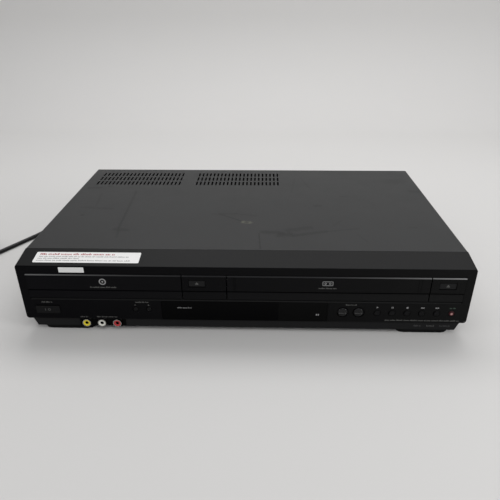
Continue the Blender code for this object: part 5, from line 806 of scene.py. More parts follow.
label_paper = finish(
    "label_paper", (0.74, 0.73, 0.72), 0.55, grain=0.03, patch=0.05, bump=0.000005
)
slope_turn = Matrix.Rotation(math.atan(SLOPE_RISE) - math.pi / 2, 4, "X")
slope_face = Matrix.Translation((0, FRONT, SLOPE_START)) @ slope_turn
label = round_plate(LABEL_X, LABEL_REACH, LABEL_CORNER)
printed("label_sheet", label, label_paper, slope_face)
over_label = slope_face @ upright(-PRINT_DEPTH)
label_head = blocks((-0.1960, -0.1235, 0.0180, 0.0026, 21))
print_red = ink("red", (0.33, 0.05, 0.06))
printed("label_head", label_head, print_red, over_label)
label_rows = blocks(
    (-0.1960, -0.1090, 0.0144, 0.0016, 22),
    (-0.1965, -0.1560, 0.0116, 0.0016, 23),
    (-0.1970, -0.1075, 0.0086, 0.0016, 24),
)
printed("label_rows", label_rows, print_grey, over_label)
white_tag = finish("white_tag", (0.72, 0.72, 0.71), 0.35, grain=0.03, patch=0.04, bump=0.000005)
printed("front_tag", round_plate(TAG_X, TAG_Z, TAG_CORNER), white_tag)

# The tray door: the tray's own black front, moulded with a chamfer along its top and a groove
# above its lower strip. The sign and the bar on it are printed.
DOOR_BLACK = (0.0014, 0.0013, 0.0022)
DOOR_LIT_BLACK = (0.0056, 0.0056, 0.0056)
DISC_SIGN = (-0.1334, 0.0583)
door_face = upright(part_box("tray_door")[0].y)
door_plastic = finish(
    "door_plastic", DOOR_BLACK, 0.30, "tray_door", "cassette_door", grain=0.05,
    grain_size=0.0006, patch=0.06, patch_size=0.07, bump=0.000006, specular_ior_level=0.06,
)
# The doors take the front's painted light and painted highlights.
with_painted_light(door_plastic, DOOR_BLACK, DOOR_LIT_BLACK)
disc_sign = ring(*DISC_SIGN, 0.0034, 0.0023) + ring(*DISC_SIGN, 0.0009, 0)
printed("disc_sign", disc_sign, print_grey, door_face, "tray")
disc_bars = blocks((-0.1459, -0.1201, 0.0523, 0.0015, 31))
printed("disc_bars", disc_bars, print_dim, door_face, "tray")

# The tape flap: the same black moulding, hinged along its top. Two faint lines near each end
# show where its thicker middle starts. A small cassette is printed on it, with a bar below.
TAPE_SIGN_Z = 0.0587
FLAP_SEAMS = (-0.0091, -0.0078, 0.1630, 0.1657)
SEAM_SINK = 0.00004
END_SEAM_X = 0.2067
tape_sign = bars(
    (0.0787, 0.0608, 0.0100, 0.0006),
    (0.0787, 0.0566, 0.0100, 0.0006),
    (0.0740, TAPE_SIGN_Z, 0.0006, 0.0048),
    (0.0834, TAPE_SIGN_Z, 0.0006, 0.0048),
)
for x in (0.0766, 0.0808):
    tape_sign += ring(x, TAPE_SIGN_Z, 0.0011, 0.0006)
printed("tape_sign", tape_sign, print_grey, door_face, "flap")
tape_bars = blocks((0.0702, 0.0872, 0.0536, 0.0014, 33))
printed("tape_bars", tape_bars, print_dim, door_face, "flap")
seam_black = finish(
    "seam_black", (0.0006, 0.0006, 0.0006), 0.4, bump=0.000005, specular_ior_level=0.02
)
seams = bars(*((x, 0.0571, 0.00035, 0.0148) for x in FLAP_SEAMS))
seam_face = door_face @ upright(SEAM_SINK)
printed("flap_seams", seams, seam_black, seam_face, "flap")

# The front's end seams: one dark line beyond each end of the doors, from the grooves up to the
# chamfers, where the fixed front meets its end pieces.
end_seams = bars(*((x, 0.0513, 0.0007, 0.0266) for x in (-END_SEAM_X, END_SEAM_X)))
printed("end_seams", end_seams, seam_black)

# The buttons: black caps that slide in their holes. The two select buttons are domed and
# polished, the record button is dark red with a painted highlight in its middle, and the rest
# are satin black. Each has a border of painted shade, wider at the top left on the round
# transport, tracking and record buttons.
# Painted shade: the black round the borders of buttons and in the jacks' holes.
PAINTED_SHADE_BLACK = (0.0002, 0.0002, 0.0002)
ROUND_SHADE = 0.00025
RIM_SOFT = 0.0003
RIM_OUT = -0.0008
DOME_START = 0.0036
DOME_WIDTH = 0.0022
DOME_FALL = 0.0019
# Painted highlight: the pale middle of the record button.
RECORD_HIGHLIGHT_EDGE = 1.9
RECORD_HIGHLIGHT_RADIUS = 0.0008
RECORD_HIGHLIGHT_PINK = (0.44, 0.24, 0.23)
EJECT_ARROW = ((-0.0015, -0.0001), (0.0015, -0.0001), (0, 0.0015))
EJECT_DROP = 0.0008
SELECT_SEED = 11

# Cap rim shade: the mask of the painted shade round the border of a button, from its middle and
# half of its size. Round buttons use the distance from their middle, and the others the distance
# from their sides.
cap_rim, place, coming, going = new_group(
    "cap_rim",
    {"Middle": "Vector", "Half": "Vector", "Border": "Float", "Round": "Float"},
    {"Mask": "Float"},
)
off = (place - coming["Middle"]) * (1, 0, 1)
x, y, z = (coming["Half"] - abs(off)).parts()
from_side = x.work("MINIMUM", z)
from_round = coming["Half"].parts()[0] - off.work("LENGTH")
from_edge = (from_round - from_side) * coming["Round"] + from_side
inner = ((coming["Border"] - from_edge) / RIM_SOFT).clipped()
(inner * (from_edge > RIM_OUT)).feed(going["Mask"])


def from_axis(tree, middle, across=(1, 0, 1)):
    """The distance of the point shaded from an axis through a middle, along the ways across."""
    return ((place_in(tree) - middle) * across).work("LENGTH")


def cap(material, border, is_round, *keys, shift=0.0):
    """Paints shade on the borders of buttons, wider at their top left by the shift, and dresses
    them.
    """
    for key in keys:
        low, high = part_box("button_" + key)
        middle = (low + high) / 2 + Vector((shift, 0, -shift))
        values = {"Middle": middle, "Half": (high - low) / 2, "Border": border, "Round": is_round}
        rim = add_node(material.node_tree, "Group", values, node_tree=cap_rim)
        add_mask(material, Signal(rim.outputs["Mask"]), PAINTED_SHADE_BLACK)
        dress(material, "button_" + key)


cap_black = finish(
    "cap_black", (0.0072, 0.0072, 0.0076), 0.34, grain=0.05, grain_size=0.0004, patch=0.05,
    bump=0.000005, specular_ior_level=0.06,
)
transport_keys = ("play", "pause", "stop", "rewind", "fast_forward")
cap(cap_black, 0.0015, 1, *transport_keys, shift=ROUND_SHADE)
cap(cap_black, 0.0014, 1, "tracking_minus", "tracking_plus", shift=ROUND_SHADE)
cap(cap_black, 0.0009, 0, "power")
cap_dusty = finish(
    "cap_dusty", (0.0125, 0.0125, 0.0130), 0.34, grain=0.08, grain_size=0.0004, bump=0.000005,
    specular_ior_level=0.06,
)
cap(cap_dusty, 0.0010, 0, "disc_eject", "tape_eject")
cap_gloss = finish(
    "cap_gloss", (0.0060, 0.0060, 0.0064), 0.11, grain=0.02, patch=0.02, bump=0.000002,
    specular_ior_level=0.22,
)
tree = cap_gloss.node_tree
level = 1.0
for key in ("select_disc", "select_tape"):
    radius = from_axis(tree, middle_of("button_" + key))
    out = ((radius - DOME_START) / DOME_WIDTH).clipped()
    level = level - out.work("POWER", 2.0) * (radius < DOME_START + 2 * DOME_WIDTH)
    cap(cap_gloss, 0.0005, 1, key)
rounded = level.made("Bump", {"Height": level, "Distance": DOME_FALL})
rounded.feed(tree.nodes["Bump"].inputs["Normal"])
record_red = finish(
    "record_red", (0.036, 0.0030, 0.0045), 0.30, grain=0.05, patch=0.05, bump=0.000003,
    specular_ior_level=0.15,
)
# Painted highlight: a pale pink middle on the record button.
radius = from_axis(record_red.node_tree, middle_of("button_record"))
add_mask(record_red, (RECORD_HIGHLIGHT_EDGE - radius / RECORD_HIGHLIGHT_RADIUS).clipped(), RECORD_HIGHLIGHT_PINK)
cap(record_red, 0.0004, 1, "record", shift=ROUND_SHADE)


def on_button(name, key, outlines, material):
    """Prints that ride on a button's face."""
    node = "button_" + key
    printed(name, outlines, material, upright(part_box(node)[0].y), "key_" + key)


for key in ("disc_eject", "tape_eject"):
    x, y, z = middle_of("button_" + key)
    arrow = [(x + right, z + up) for right, up in EJECT_ARROW]
    eject = [arrow] + bars((x, z - EJECT_DROP, 0.0030, 0.0006))
    on_button(key + "_sign", key, eject, print_dim)
x, y, z = middle_of("button_power")
power_sign = bars((x - 0.0026, z, 0.0006, 0.0024)) + ring(x + 0.0012, z, 0.0013, 0.0008)
on_button("power_sign", "power", power_sign, print_faint)
for key in ("select_disc", "select_tape"):
    x, y, z = middle_of("button_" + key)
    select_row = blocks((x - 0.0036, x + 0.0040, z - 0.0004, 0.0014, SELECT_SEED))
    on_button(key + "_bars", key, select_row, print_faint)

# The display window: smoked clear plastic, polished, that fills its opening. Behind it stands
# the sealed glass tube, with the unlit cells of its digits. Two prints lie on the window.
SMOKE_SEAM = 0.0334
CELLS = 9
FIRST_CELL = 0.020
CELL_PITCH = 0.0105
CELL_WIDE = 0.0052
CELL_HIGH = 0.0046
CELL_SHARE = 0.7
CELL_LINE = 0.0006
smoked = finish(
    "smoked", (0.0004, 0.0004, 0.0006), 0.10, "display_window", grain=0.0, patch=0.02,
    patch_size=0.05, bump=0.0000005, transmission_weight=0.05, specular_ior_level=0.03,
)
beyond_seam = place_in(smoked.node_tree).parts()[0] > SMOKE_SEAM
add_mask(smoked, beyond_seam, (0.0022, 0.0022, 0.0022))
finish(
    "tube_glass", (0.020, 0.026, 0.027), 0.10, "display_tube", grain=0.02, patch=0.15,
    patch_size=0.02, bump=0.000001,
)
tube_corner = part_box("display_tube")[0]
tube_z = middle_of("display_tube").z
cells = []
for i in range(CELLS):
    x = tube_corner.x + FIRST_CELL + i * CELL_PITCH
    for rise in (-1, 0, 1):
        cells.append((x, tube_z + rise * CELL_HIGH, CELL_WIDE * CELL_SHARE, CELL_LINE))
    for side in (-0.5, 0.5):
        for rise in (-0.5, 0.5):
            spot = (x + side * CELL_WIDE, tube_z + rise * CELL_HIGH)
            cells.append((*spot, CELL_LINE, CELL_HIGH * CELL_SHARE))
cell_grey = finish("cell_grey", (0.11, 0.12, 0.12), 0.5, grain=0.2, bump=0.000003)
tube_face = upright(tube_corner.y)
printed("display_cells", bars(*cells), cell_grey, tube_face)
window_face = upright(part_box("display_window")[0].y)
window_row = blocks((-0.0646, -0.0503, 0.0290, 0.0012, 41))
printed("window_print", window_row, print_grey, window_face)
sensor = bars((0.0702, 0.0226, 0.0011, 0.0017), (0.0720, 0.0226, 0.0011, 0.0017))
printed("sensor_print", sensor, print_grey, window_face)

# The front jacks: three steel barrels round yellow, white and red plastic cores, in one black
# block whose face fills a slot of the strip. Each core is a coloured funnel, with painted
# shade in its hole.
FUNNEL_RADIUS = 0.0034
FUNNEL_HOLE = 0.0016
FUNNEL_LIP = 0.00055
FUNNEL_DEPTH = 0.0014
FUNNEL_WALL = 0.0003
FUNNEL = (
    (FUNNEL_HOLE, -FUNNEL_DEPTH),
    (FUNNEL_HOLE, -FUNNEL_LIP),
    (FUNNEL_RADIUS - FUNNEL_WALL, 0),
    (FUNNEL_RADIUS, 0),
    (FUNNEL_RADIUS, -FUNNEL_LIP),
    (FUNNEL_RADIUS - 2 * FUNNEL_WALL, -FUNNEL_DEPTH),
)
FUNNEL_SIDES = 32
HOLE_RIM = 0.00005
CORE_COLOURS = {
    "yellow": (0.72, 0.58, 0.02),
    "white": (0.70, 0.69, 0.63),
    "red": (0.42, 0.03, 0.035),
}
jack_black = finish(
    "jack_black", DEEP_BLACK, 0.5, "front_jack_block", "rear_jack_block", grain=0.05,
    bump=0.000005, specular_ior_level=0.05,
)
nickel = finish(
    "nickel", (0.62, 0.61, 0.58), 0.24, "front_jack_shells", "rear_jack_shells", metallic=1,
    grain=0.08, grain_size=0.0002, patch_size=0.01, bump=0.000004,
)
core_looks = {}
for name, colour in CORE_COLOURS.items():
    node = "jack_insert_" + name
    look = finish("core_" + name, colour, 0.32, grain=0.03, patch=0.05, bump=0.000004)
    core_looks[name] = look
    middle = middle_of(node)
    # Painted shade: the hole of each core is made black.
    hole_shade = from_axis(look.node_tree, middle) < FUNNEL_HOLE + HOLE_RIM
    add_mask(look, hole_shade, PAINTED_SHADE_BLACK)
    dress(look, node)
    middle.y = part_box("front_jack_shells")[0].y
    work = bmesh.new()
    spun(work, FUNNEL, FUNNEL_SIDES, facing(middle, (0, -1, 0)), open_ended=True)
    piece("jack_funnel_" + name, work, look)

# The four feet: bars of moulded black rubber with round ends and a dull, grainy skin, pressed
# into the bottom sheet.
finish(
    "foot_rubber", (0.005, 0.005, 0.005), 0.75, "foot_front_left", "foot_front_right",
    "foot_rear_left", "foot_rear_right", grain=0.12, grain_size=0.0009, patch=0.2,
    patch_size=0.02, bump=0.00005, specular_ior_level=0.1,
)

# Zinc sheet: the crystal spangle of zinc plated steel, in shades of grey with its own gloss.
# The bottom, the clamp's bridge, the deck and the cassette cage are pressed from it.
SPANGLE_BEND = (0.004, 0.004, 0.004)
SPANGLE_NOISE = {"Scale": 180, "Detail": 3}
SPANGLE_BUMP = 0.000006
zinc_sheet, place, coming, going = new_group(
    "zinc_sheet",
    {"Colour": "Color", "Roughness": "Float", "Spangle Size": "Float", "Spread": "Float"},
    {"Base Color": "Color", "Roughness": "Float", "Height": "Float"},
)
bend = add_node(zinc_sheet, "TexNoise", {"Vector": place, **SPANGLE_NOISE}).outputs
bent = place + Signal(bend[1]) * SPANGLE_BEND
cells = {"Vector": bent, "Scale": 1.0 / coming["Spangle Size"]}
shade = bent.made("TexVoronoi", cells, "Color").parts("SeparateColor")[0]
shift = (shade - 0.5) * coming["Spread"]
shifted = {"Color": coming["Colour"], "Value": shift * 2.0 + 1.0}
shift.made("HueSaturation", shifted).feed(going["Base Color"])
(coming["Roughness"] + shift).feed(going["Roughness"])
Signal(bend[0]).feed(going["Height"])


def zinc(name, colour, roughness, spangle_size, spread, *dressed):
    """A zinc plated steel material, for CAD pieces."""
    values = {"Colour": (*colour, 1), "Roughness": roughness}
    values.update({"Spangle Size": spangle_size, "Spread": spread})
    return surfaced(name, zinc_sheet, values, SPANGLE_BUMP, dressed, metallic=1)


# The bottom: one pressed zinc plated sheet with turned-up edges and posts for the boards. It
# is screwed to the front and the back, and its screws show from below.
BOTTOM_SPOTS = ((0.205, -0.09), (0.205, 0.06), (0.10, 0.118), (0.06, -0.118))
zinc("zinc_plate", (0.42, 0.43, 0.44), 0.36, 0.006, 0.10, "bottom_chassis")
floor_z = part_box("bottom_chassis")[0].z
bottom_screws = [
    ((side * x, y, floor_z), (0, 0, -1)) for side in (-1, 1) for x, y in BOTTOM_SPOTS
]
screw_heads("bottom_screws", bottom_screws, nickel)

# The back: zinc plated steel painted black, punched for the jacks, the aerial box and the
# lead. White rows are printed by the jacks, and a plain grey plate is stuck near the lead.
JACK_PITCH = 0.014
JACK_ROW = 0.00415
ROW_HALF = 0.0045
ROW_OFF = 0.0030
FRAME_OFF = 0.003
FRAME_LINE = 0.0004
TUNER_IN = 0.006
TUNER_OFF = 0.0040
PLATE_X = (0.068, 0.124)
PLATE_Z = (0.0155, 0.0395)
PLATE_CORNER = 0.0015
PLATE_ROWS = (0.0340, 0.0295, 0.0250, 0.0205)
BACK_SPOTS = (
    (-0.205, 0.068), (0.205, 0.068), (-0.205, 0.012), (0.205, 0.012), (0.066, 0.030),
    (-0.026, 0.030), (0.120, 0.012),
)
REAR_JACKS = (
    # lower core, upper core
    ("yellow", "yellow"), ("white", "white"), ("red", "red"), ("white", "yellow"),
    ("red", "white"),
)
REAR_CORE = (
    (0.0017, -0.0090), (0.0034, -0.0090), (0.0034, -0.0010), (0.0031, -0.0006),
    (0.0020, -0.0006), (0.0017, -0.0010), (0.0017, -0.0060),
)
REAR_CORE_SIDES = 24
finish(
    "back_paint", (0.020, 0.020, 0.021), 0.50, "rear_panel", grain=0.08, grain_size=0.0006,
    patch=0.08, patch_size=0.05, bump=0.00001,
)
back_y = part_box("rear_panel")[1].y
back_face = upright(back_y) @ Matrix.Rotation(math.pi, 4, "Z")
low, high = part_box("rear_jack_shells")
tuner_low, tuner_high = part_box("tuner_box")
first_jack_x = (low.x + high.x) / 2 - 2 * JACK_PITCH
rows = []
for column in range(len(REAR_JACKS)):
    x = first_jack_x + column * JACK_PITCH
    for z, seed in ((high.z + ROW_OFF, 50 + column), (low.z - ROW_OFF, 60 + column)):
        rows.append((-x - ROW_HALF, -x + ROW_HALF, z, 0.0013, seed))
left, right = -high.x - FRAME_OFF, -low.x + FRAME_OFF
base, head = low.z - 2 * FRAME_OFF, high.z + 2 * FRAME_OFF
back_bars = blocks(*rows)
back_bars += bars(*(((left + right) / 2, z, right - left, FRAME_LINE) for z in (base, head)))
back_bars += bars(*((x, (base + head) / 2, FRAME_LINE, head - base) for x in (left, right)))
back_bars += blocks(
    (-tuner_high.x + TUNER_IN, -tuner_low.x - TUNER_IN, tuner_high.z + TUNER_OFF, 0.0016, 71),
    (0.150, 0.176, 0.0560, 0.0022, 72),
    (0.150, 0.198, 0.0510, 0.0014, 73),
)
printed("back_print", back_bars, ink("bright", (0.50, 0.50, 0.49)), back_face)
plate_silver = finish(
    "plate_silver", (0.40, 0.40, 0.40), 0.40, metallic=0.6, grain=0.08, grain_size=0.0003,
    bump=0.000004, stretch=(0.1, 1, 1),
)
back_plate = round_plate(PLATE_X, PLATE_Z, PLATE_CORNER)
printed("back_plate", back_plate, plate_silver, back_face)
plate_rows = blocks(*((0.072, 0.118, z, 0.0014, 80 + i) for i, z in enumerate(PLATE_ROWS)))
over_plate = back_face @ upright(-PRINT_DEPTH)
printed("plate_print", plate_rows, jack_black, over_plate)
back_screws = [((x, back_y, z), (0, 1, 0)) for x, z in BACK_SPOTS]
screw_heads("back_screws", back_screws, black_screw)

# The rear jacks: two rows of nickel barrels on a black block, each with a moulded core in the
# colour of its signal.
works = {colour: bmesh.new() for colour in CORE_COLOURS}
for column, colours in enumerate(REAR_JACKS):
    x = first_jack_x + column * JACK_PITCH
    for z, colour in zip((low.z + JACK_ROW, high.z - JACK_ROW), colours):
        turn = facing((x, high.y, z), (0, 1, 0))
        spun(works[colour], REAR_CORE, REAR_CORE_SIDES, turn, open_ended=True)
for colour, work in works.items():
    piece("rear_core_" + colour, work, core_looks[colour])

# The aerial box: a tinned steel can that stands behind the back, with two threaded sockets
# that reach out through it.
tinned = finish(
    "tinned", (0.60, 0.60, 0.58), 0.30, "tuner_box", metallic=1, grain_size=0.0006, patch=0.15,
    patch_size=0.02, bump=0.000006,
)

# The sleeve and the plug of the mains lead are moulded from the same black flexible plastic,
# and the plug's two blades are plated brass.
PLUG_BODY = 0.0401
BLADE_BRASS = (0.62, 0.55, 0.40)
plug_black = finish(
    "plug_black", (0.008, 0.008, 0.0085), 0.40, "mains_plug", grain_size=0.0010, patch=0.08,
    bump=0.00003, specular_ior_level=0.25,
)
from_tip = place_in(plug_black.node_tree) - coil[-1]
blades = from_tip.work("DOT_PRODUCT", end_heading) > PLUG_BODY
add_mask(plug_black, blades, BLADE_BRASS)
blades.feed(shader_of(plug_black)["Metallic"])

# The boards: paper or glass laminate under solder lacquer, with thin tracks and drilled pads.
# Board face: straight tracks in both directions, broken up by cells, with pads on a pitch.
CELL_SCALE = 0.16
TRACK_START = 0.30
TRACK_SHARE = 0.30
PAD_RADIUS = 0.20
PAD_SHARE = 0.55
PAD_TIN = (0.55, 0.54, 0.50, 1)
BOARD_ROUGHNESS = 0.38
BOARD_BUMP = 0.00004
board_face, place, coming, going = new_group(
    "board_face",
    {"Lacquer": "Color", "Track": "Color", "Pitch": "Float"},
    {"Base Color": "Color", "Metallic": "Float", "Height": "Float"},
)
grid = place * (1.0 / coming["Pitch"])
cells = {"Vector": grid, "Scale": CELL_SCALE}
cell = grid.made("TexVoronoi", cells, "Color", distance="MANHATTAN").parts("SeparateColor")
wave_x, wave_y = (way.work("PINGPONG", 0.5) for way in grid.parts()[:2])
across = grid.made("Mix", {0: cell[0] > 0.5, 2: wave_x, 3: wave_y})
track = (across > TRACK_START) * (cell[1] > TRACK_SHARE)
pad_spot = grid.made("CombineXYZ", {0: wave_x, 1: wave_y})
pad = (pad_spot.work("LENGTH") < PAD_RADIUS) * (cell[2] > PAD_SHARE)
pad.mix(track.mix(coming["Lacquer"], coming["Track"]), PAD_TIN).feed(going["Base Color"])
pad.feed(going["Metallic"])
(track + pad).feed(going["Height"])


def board(name, lacquer, track, pitch, *dressed):
    """A board material with its lacquer's and its tracks' colours, for CAD pieces."""
    values = {"Lacquer": (*lacquer, 1), "Track": (*track, 1), "Pitch": pitch}
    return surfaced(name, board_face, values, BOARD_BUMP, dressed, roughness=BOARD_ROUGHNESS)


board("green_board", (0.012, 0.075, 0.022), (0.030, 0.150, 0.045), 0.0025, "main_board")
board("brown_board", (0.035, 0.018, 0.009), (0.06, 0.034, 0.016), 0.0030, "front_board")

# The power board carries a capacitor in a dark sleeve with a bare top, and a transformer with
# a grey core and yellow tape. They are one body with the board, told apart by their places.
BOARD_THICK = 0.0016
BOARD_SKIN = 0.0001
CAN_PLACE = Vector((-0.1330, 0.0858, 0))
CAN_RADIUS = 0.0102
CAN_BARE_RADIUS = 0.0085
CAN_BARE_DEPTH = 0.0002
CAN_SLEEVE = (0.010, 0.014, 0.035)
CAN_BARE = (0.45, 0.45, 0.46)
CORE_PLACE = Vector((-0.1780, 0.0933, 0))
CORE_HALF = (0.0152, 0.0162)
CORE_GREY = (0.030, 0.029, 0.028)
TAPE_HALF = 0.0101
TAPE_START = 0.01405
TAPE_YELLOW = (0.62, 0.46, 0.05)
tan_board = board(
    "tan_board", (0.20, 0.115, 0.05), (0.29, 0.18, 0.085), 0.0030, "power_board"
)
power_low, power_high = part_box("power_board")
power_top = power_low.z + BOARD_THICK
place = place_in(tan_board.node_tree)
height = place.parts()[2]
above = height > power_top + BOARD_SKIN
radius = from_axis(tan_board.node_tree, CAN_PLACE, (1, 1, 0))
add_mask(tan_board, above * (radius < CAN_RADIUS), CAN_SLEEVE)
bare_end = (height > power_high.z - CAN_BARE_DEPTH) * (radius < CAN_BARE_RADIUS)
add_mask(tan_board, bare_end, CAN_BARE)
x, y, z = abs(place - CORE_PLACE).parts()
on_core = above * ((x < CORE_HALF[0]) * (y < CORE_HALF[1]))
add_mask(tan_board, on_core, CORE_GREY)
add_mask(tan_board, on_core * (x < TAPE_HALF) * (y > TAPE_START), TAPE_YELLOW)
shiny = shader_of(tan_board)["Metallic"]
pads_only = (1.0 - above) * shiny.links[0].from_socket
pads_only.work("MAXIMUM", bare_end).feed(shiny)

# What stands on the boards: black chips with tinned legs, electrolytic cans in shrink sleeves
# with bare lids, white plugs, and a finned cooler of aluminium.
CHIPS = (
    # x, y, width, depth, legs on each side
    (-0.040, -0.080, 0.014, 0.020, 10),
    (-0.040, -0.030, 0.016, 0.016, 12),
    (-0.040, 0.030, 0.010, 0.022, 11),
    (-0.038, 0.088, 0.014, 0.014, 10),
)
CHIP_LOW = 0.0003
CHIP_HIGH = 0.0026
CHIP_BEVEL = 0.0003
LEG_SIZE = (0.0018, 0.0006)
LEG_OUT = 0.0008
LEG_LOW = -0.0001
LEG_HIGH = 0.0009
CANS = (
    # x, y, radius, height
    (-0.0475, -0.055, 0.0032, 0.011), (-0.0330, -0.055, 0.0032, 0.011),
    (-0.0480, 0.005, 0.0042, 0.013), (-0.0340, 0.005, 0.0032, 0.011),
    (-0.0485, 0.058, 0.0050, 0.016), (-0.0330, 0.060, 0.0042, 0.013),
)
CAN_SHOULDER = 0.0008
CAN_SIDES = 20
FLAT_PLUG = (0.0160, 0.0044)
WIRE_PLUG = (0.0044, 0.0110)
PLUG_TALL = 0.007
PLUG_BEVEL = 0.0004
COOLER_TALL = 0.028
COOLER_X = (-0.1580, -0.1560)
COOLER_Y = (0.0780, 0.1060)
FINS = 7
FIN_X = (-0.1561, -0.1490)
FIN_PITCH = 0.0045
FIN_THICK = 0.0010
FIN_START = 0.001


def boxed(work, low, high, bevel):
    """Adds a box between two corners, with its edges cut off by the bevel if there is one."""
    low, high = Vector(low), Vector(high)
    middle = Matrix.Translation((low + high) / 2) @ Matrix.Diagonal((*(high - low), 1))
    made = bmesh.ops.create_cube(work, size=1, matrix=middle)
    if bevel:
        edges = list({edge for vert in made["verts"] for edge in vert.link_edges})
        bmesh.ops.bevel(work, geom=edges, offset=bevel, segments=2, profile=0.5, affect="EDGES")


def block(work, x, y, size, base, top, bevel):
    """Adds a box of a width and depth round a place on a board."""
    wide, deep = size
    low = (x - wide / 2, y - deep / 2, base)
    boxed(work, low, (x + wide / 2, y + deep / 2, top), bevel)


board_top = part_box("main_board")[0].z + BOARD_THICK
chips, legs, cans, can_tops, plugs, fins = (bmesh.new() for made in range(6))
for x, y, wide, deep, count in CHIPS:
    block(chips, x, y, (wide, deep), board_top + CHIP_LOW, board_top + CHIP_HIGH, CHIP_BEVEL)
    for i in range(count):
        step = y - deep / 2 + deep * (i + 0.5) / count
        for side in (-1, 1):
            near = x + side * (wide / 2 + LEG_OUT)
            block(legs, near, step, LEG_SIZE, board_top + LEG_LOW, board_top + LEG_HIGH, 0)
for x, y, radius, tall in CANS:
    place = Matrix.Translation((x, y, board_top))
    can = [(radius, 0), (radius, tall - CAN_SHOULDER)]
    can += [(radius * 0.93, tall), (radius * 0.85, tall)]
    spun(cans, can, CAN_SIDES, place)
    lid = [(radius * 0.84, tall - 0.0002), (radius * 0.82, tall + 0.0001)]
    spun(can_tops, lid, CAN_SIDES, place)
for x, y, size, base in (
    (-0.0400, -0.1040, FLAT_PLUG, board_top),
    (-0.0455, -0.0060, WIRE_PLUG, board_top),
    (-0.0455, 0.0705, WIRE_PLUG, board_top),
    (-0.0500, 0.1020, WIRE_PLUG, board_top),
    (-0.1165, 0.1100, WIRE_PLUG, power_top),
):
    block(plugs, x, y, size, base, base + PLUG_TALL, PLUG_BEVEL)
cooler_top = power_top + COOLER_TALL
low, high = ((x, y, z) for x, y, z in zip(COOLER_X, COOLER_Y, (power_top, cooler_top)))
boxed(fins, low, high, 0.0002)
for i in range(FINS):
    y = COOLER_Y[0] + i * FIN_PITCH
    low = (FIN_X[0], y, power_top + FIN_START)
    boxed(fins, low, (FIN_X[1], y + FIN_THICK, cooler_top), 0.0001)
chip_black = finish("chip_black", (0.012, 0.012, 0.013), 0.55, grain_size=0.0004, bump=0.00001)
sleeve_black = finish("sleeve_black", (0.015, 0.016, 0.022), 0.30, grain=0.04, bump=0.000003)
plug_white = finish("plug_white", (0.66, 0.64, 0.56), 0.45, grain=0.05, bump=0.000005)
cooler_grey = finish(
    "cooler_grey", (0.50, 0.51, 0.52), 0.40, metallic=1, stretch=(1, 1, 0.05), bump=0.000005
)
piece("main_chips", chips, chip_black)
piece("chip_legs", legs, tinned)
piece("main_cans", cans, sleeve_black)
piece("can_tops", can_tops, tinned)
piece("board_plugs", plugs, plug_white)
piece("power_cooler", fins, cooler_grey)

# The leads inside: white flat cables from the main board to the loader, the deck and the front
# board, and four thin wires from the power board, in their usual colours.
CABLE_STEP = 0.003
CABLE_HALF = 0.00025
FLAT_CABLES = (
    # name, the way across it, width, route
    ("loader_cable", (0, 1, 0), 0.009, (
        (-0.0455, -0.006, 0.0203), (-0.0465, -0.006, 0.030), (-0.0520, -0.006, 0.0365),
        (-0.0605, -0.006, 0.034),
    )),
    ("deck_cable", (0, 1, 0), 0.009, (
        (-0.0455, 0.0705, 0.0203), (-0.0440, 0.0705, 0.0270), (-0.0350, 0.0705, 0.0290),
        (-0.0250, 0.0705, 0.0230),
    )),
    ("front_cable", (1, 0, 0), 0.013, (
        (-0.040, -0.1040, 0.0203), (-0.040, -0.1060, 0.0280), (-0.040, -0.1140, 0.0320),
        (-0.040, -0.1252, 0.0300),
    )),
)
WIRE_RADIUS = 0.0006
WIRE_PITCH = 0.0022
SUPPLY_WIRES = (
    ("red", (0.35, 0.02, 0.02)), ("yellow", (0.50, 0.38, 0.03)),
    ("black", (0.012, 0.012, 0.012)), ("blue", (0.02, 0.05, 0.28)),
)
SUPPLY_ROUTE = (
    # x, y, z, how much of its own shift a wire keeps there
    (-0.1145, 0.1100, 0.0175, 1),
    (-0.1080, 0.1090, 0.0170, 1),
    (-0.0950, 0.1060, 0.0100, 0.7),
    (-0.0750, 0.1040, 0.0090, 0.6),
    (-0.0600, 0.1025, 0.0140, 0.8),
    (-0.0520, 0.1020, 0.0175, 1),
)
cable_white = finish("cable_white", (0.52, 0.52, 0.50), 0.5, patch=0.05, bump=0.000004)
for name, across, wide, route in FLAT_CABLES:
    work = bmesh.new()
    spots = smooth_route(route, CABLE_STEP)
    sides = Vector(across) * wide / 2
    rings = []
    for i, spot in enumerate(spots):
        along = spots[min(i + 1, len(spots) - 1)] - spots[max(i - 1, 0)]
        lift = along.cross(Vector(across)).normalized() * CABLE_HALF
        corners = (-sides - lift, sides - lift, sides + lift, lift - sides)
        rings.append([work.verts.new(spot + corner) for corner in corners])
    for below, over in zip(rings, rings[1:]):
        for i in range(4):
            j = (i + 1) % 4
            work.faces.new((below[i], below[j], over[j], over[i]))
    work.faces.new(rings[0])
    work.faces.new(rings[-1])
    piece(name, work, cable_white)
for i, (name, colour) in enumerate(SUPPLY_WIRES):
    shift = WIRE_PITCH * (i - (len(SUPPLY_WIRES) - 1) / 2)
    route = [(x, y + shift * kept, z) for x, y, z, kept in SUPPLY_ROUTE]
    look = finish("wire_" + name, colour, 0.35, grain=0.05, bump=0.000003)
    points = smooth_route(route, CABLE_STEP)
    wire("supply_wire_" + name, points, WIRE_RADIUS, look, sides=2)

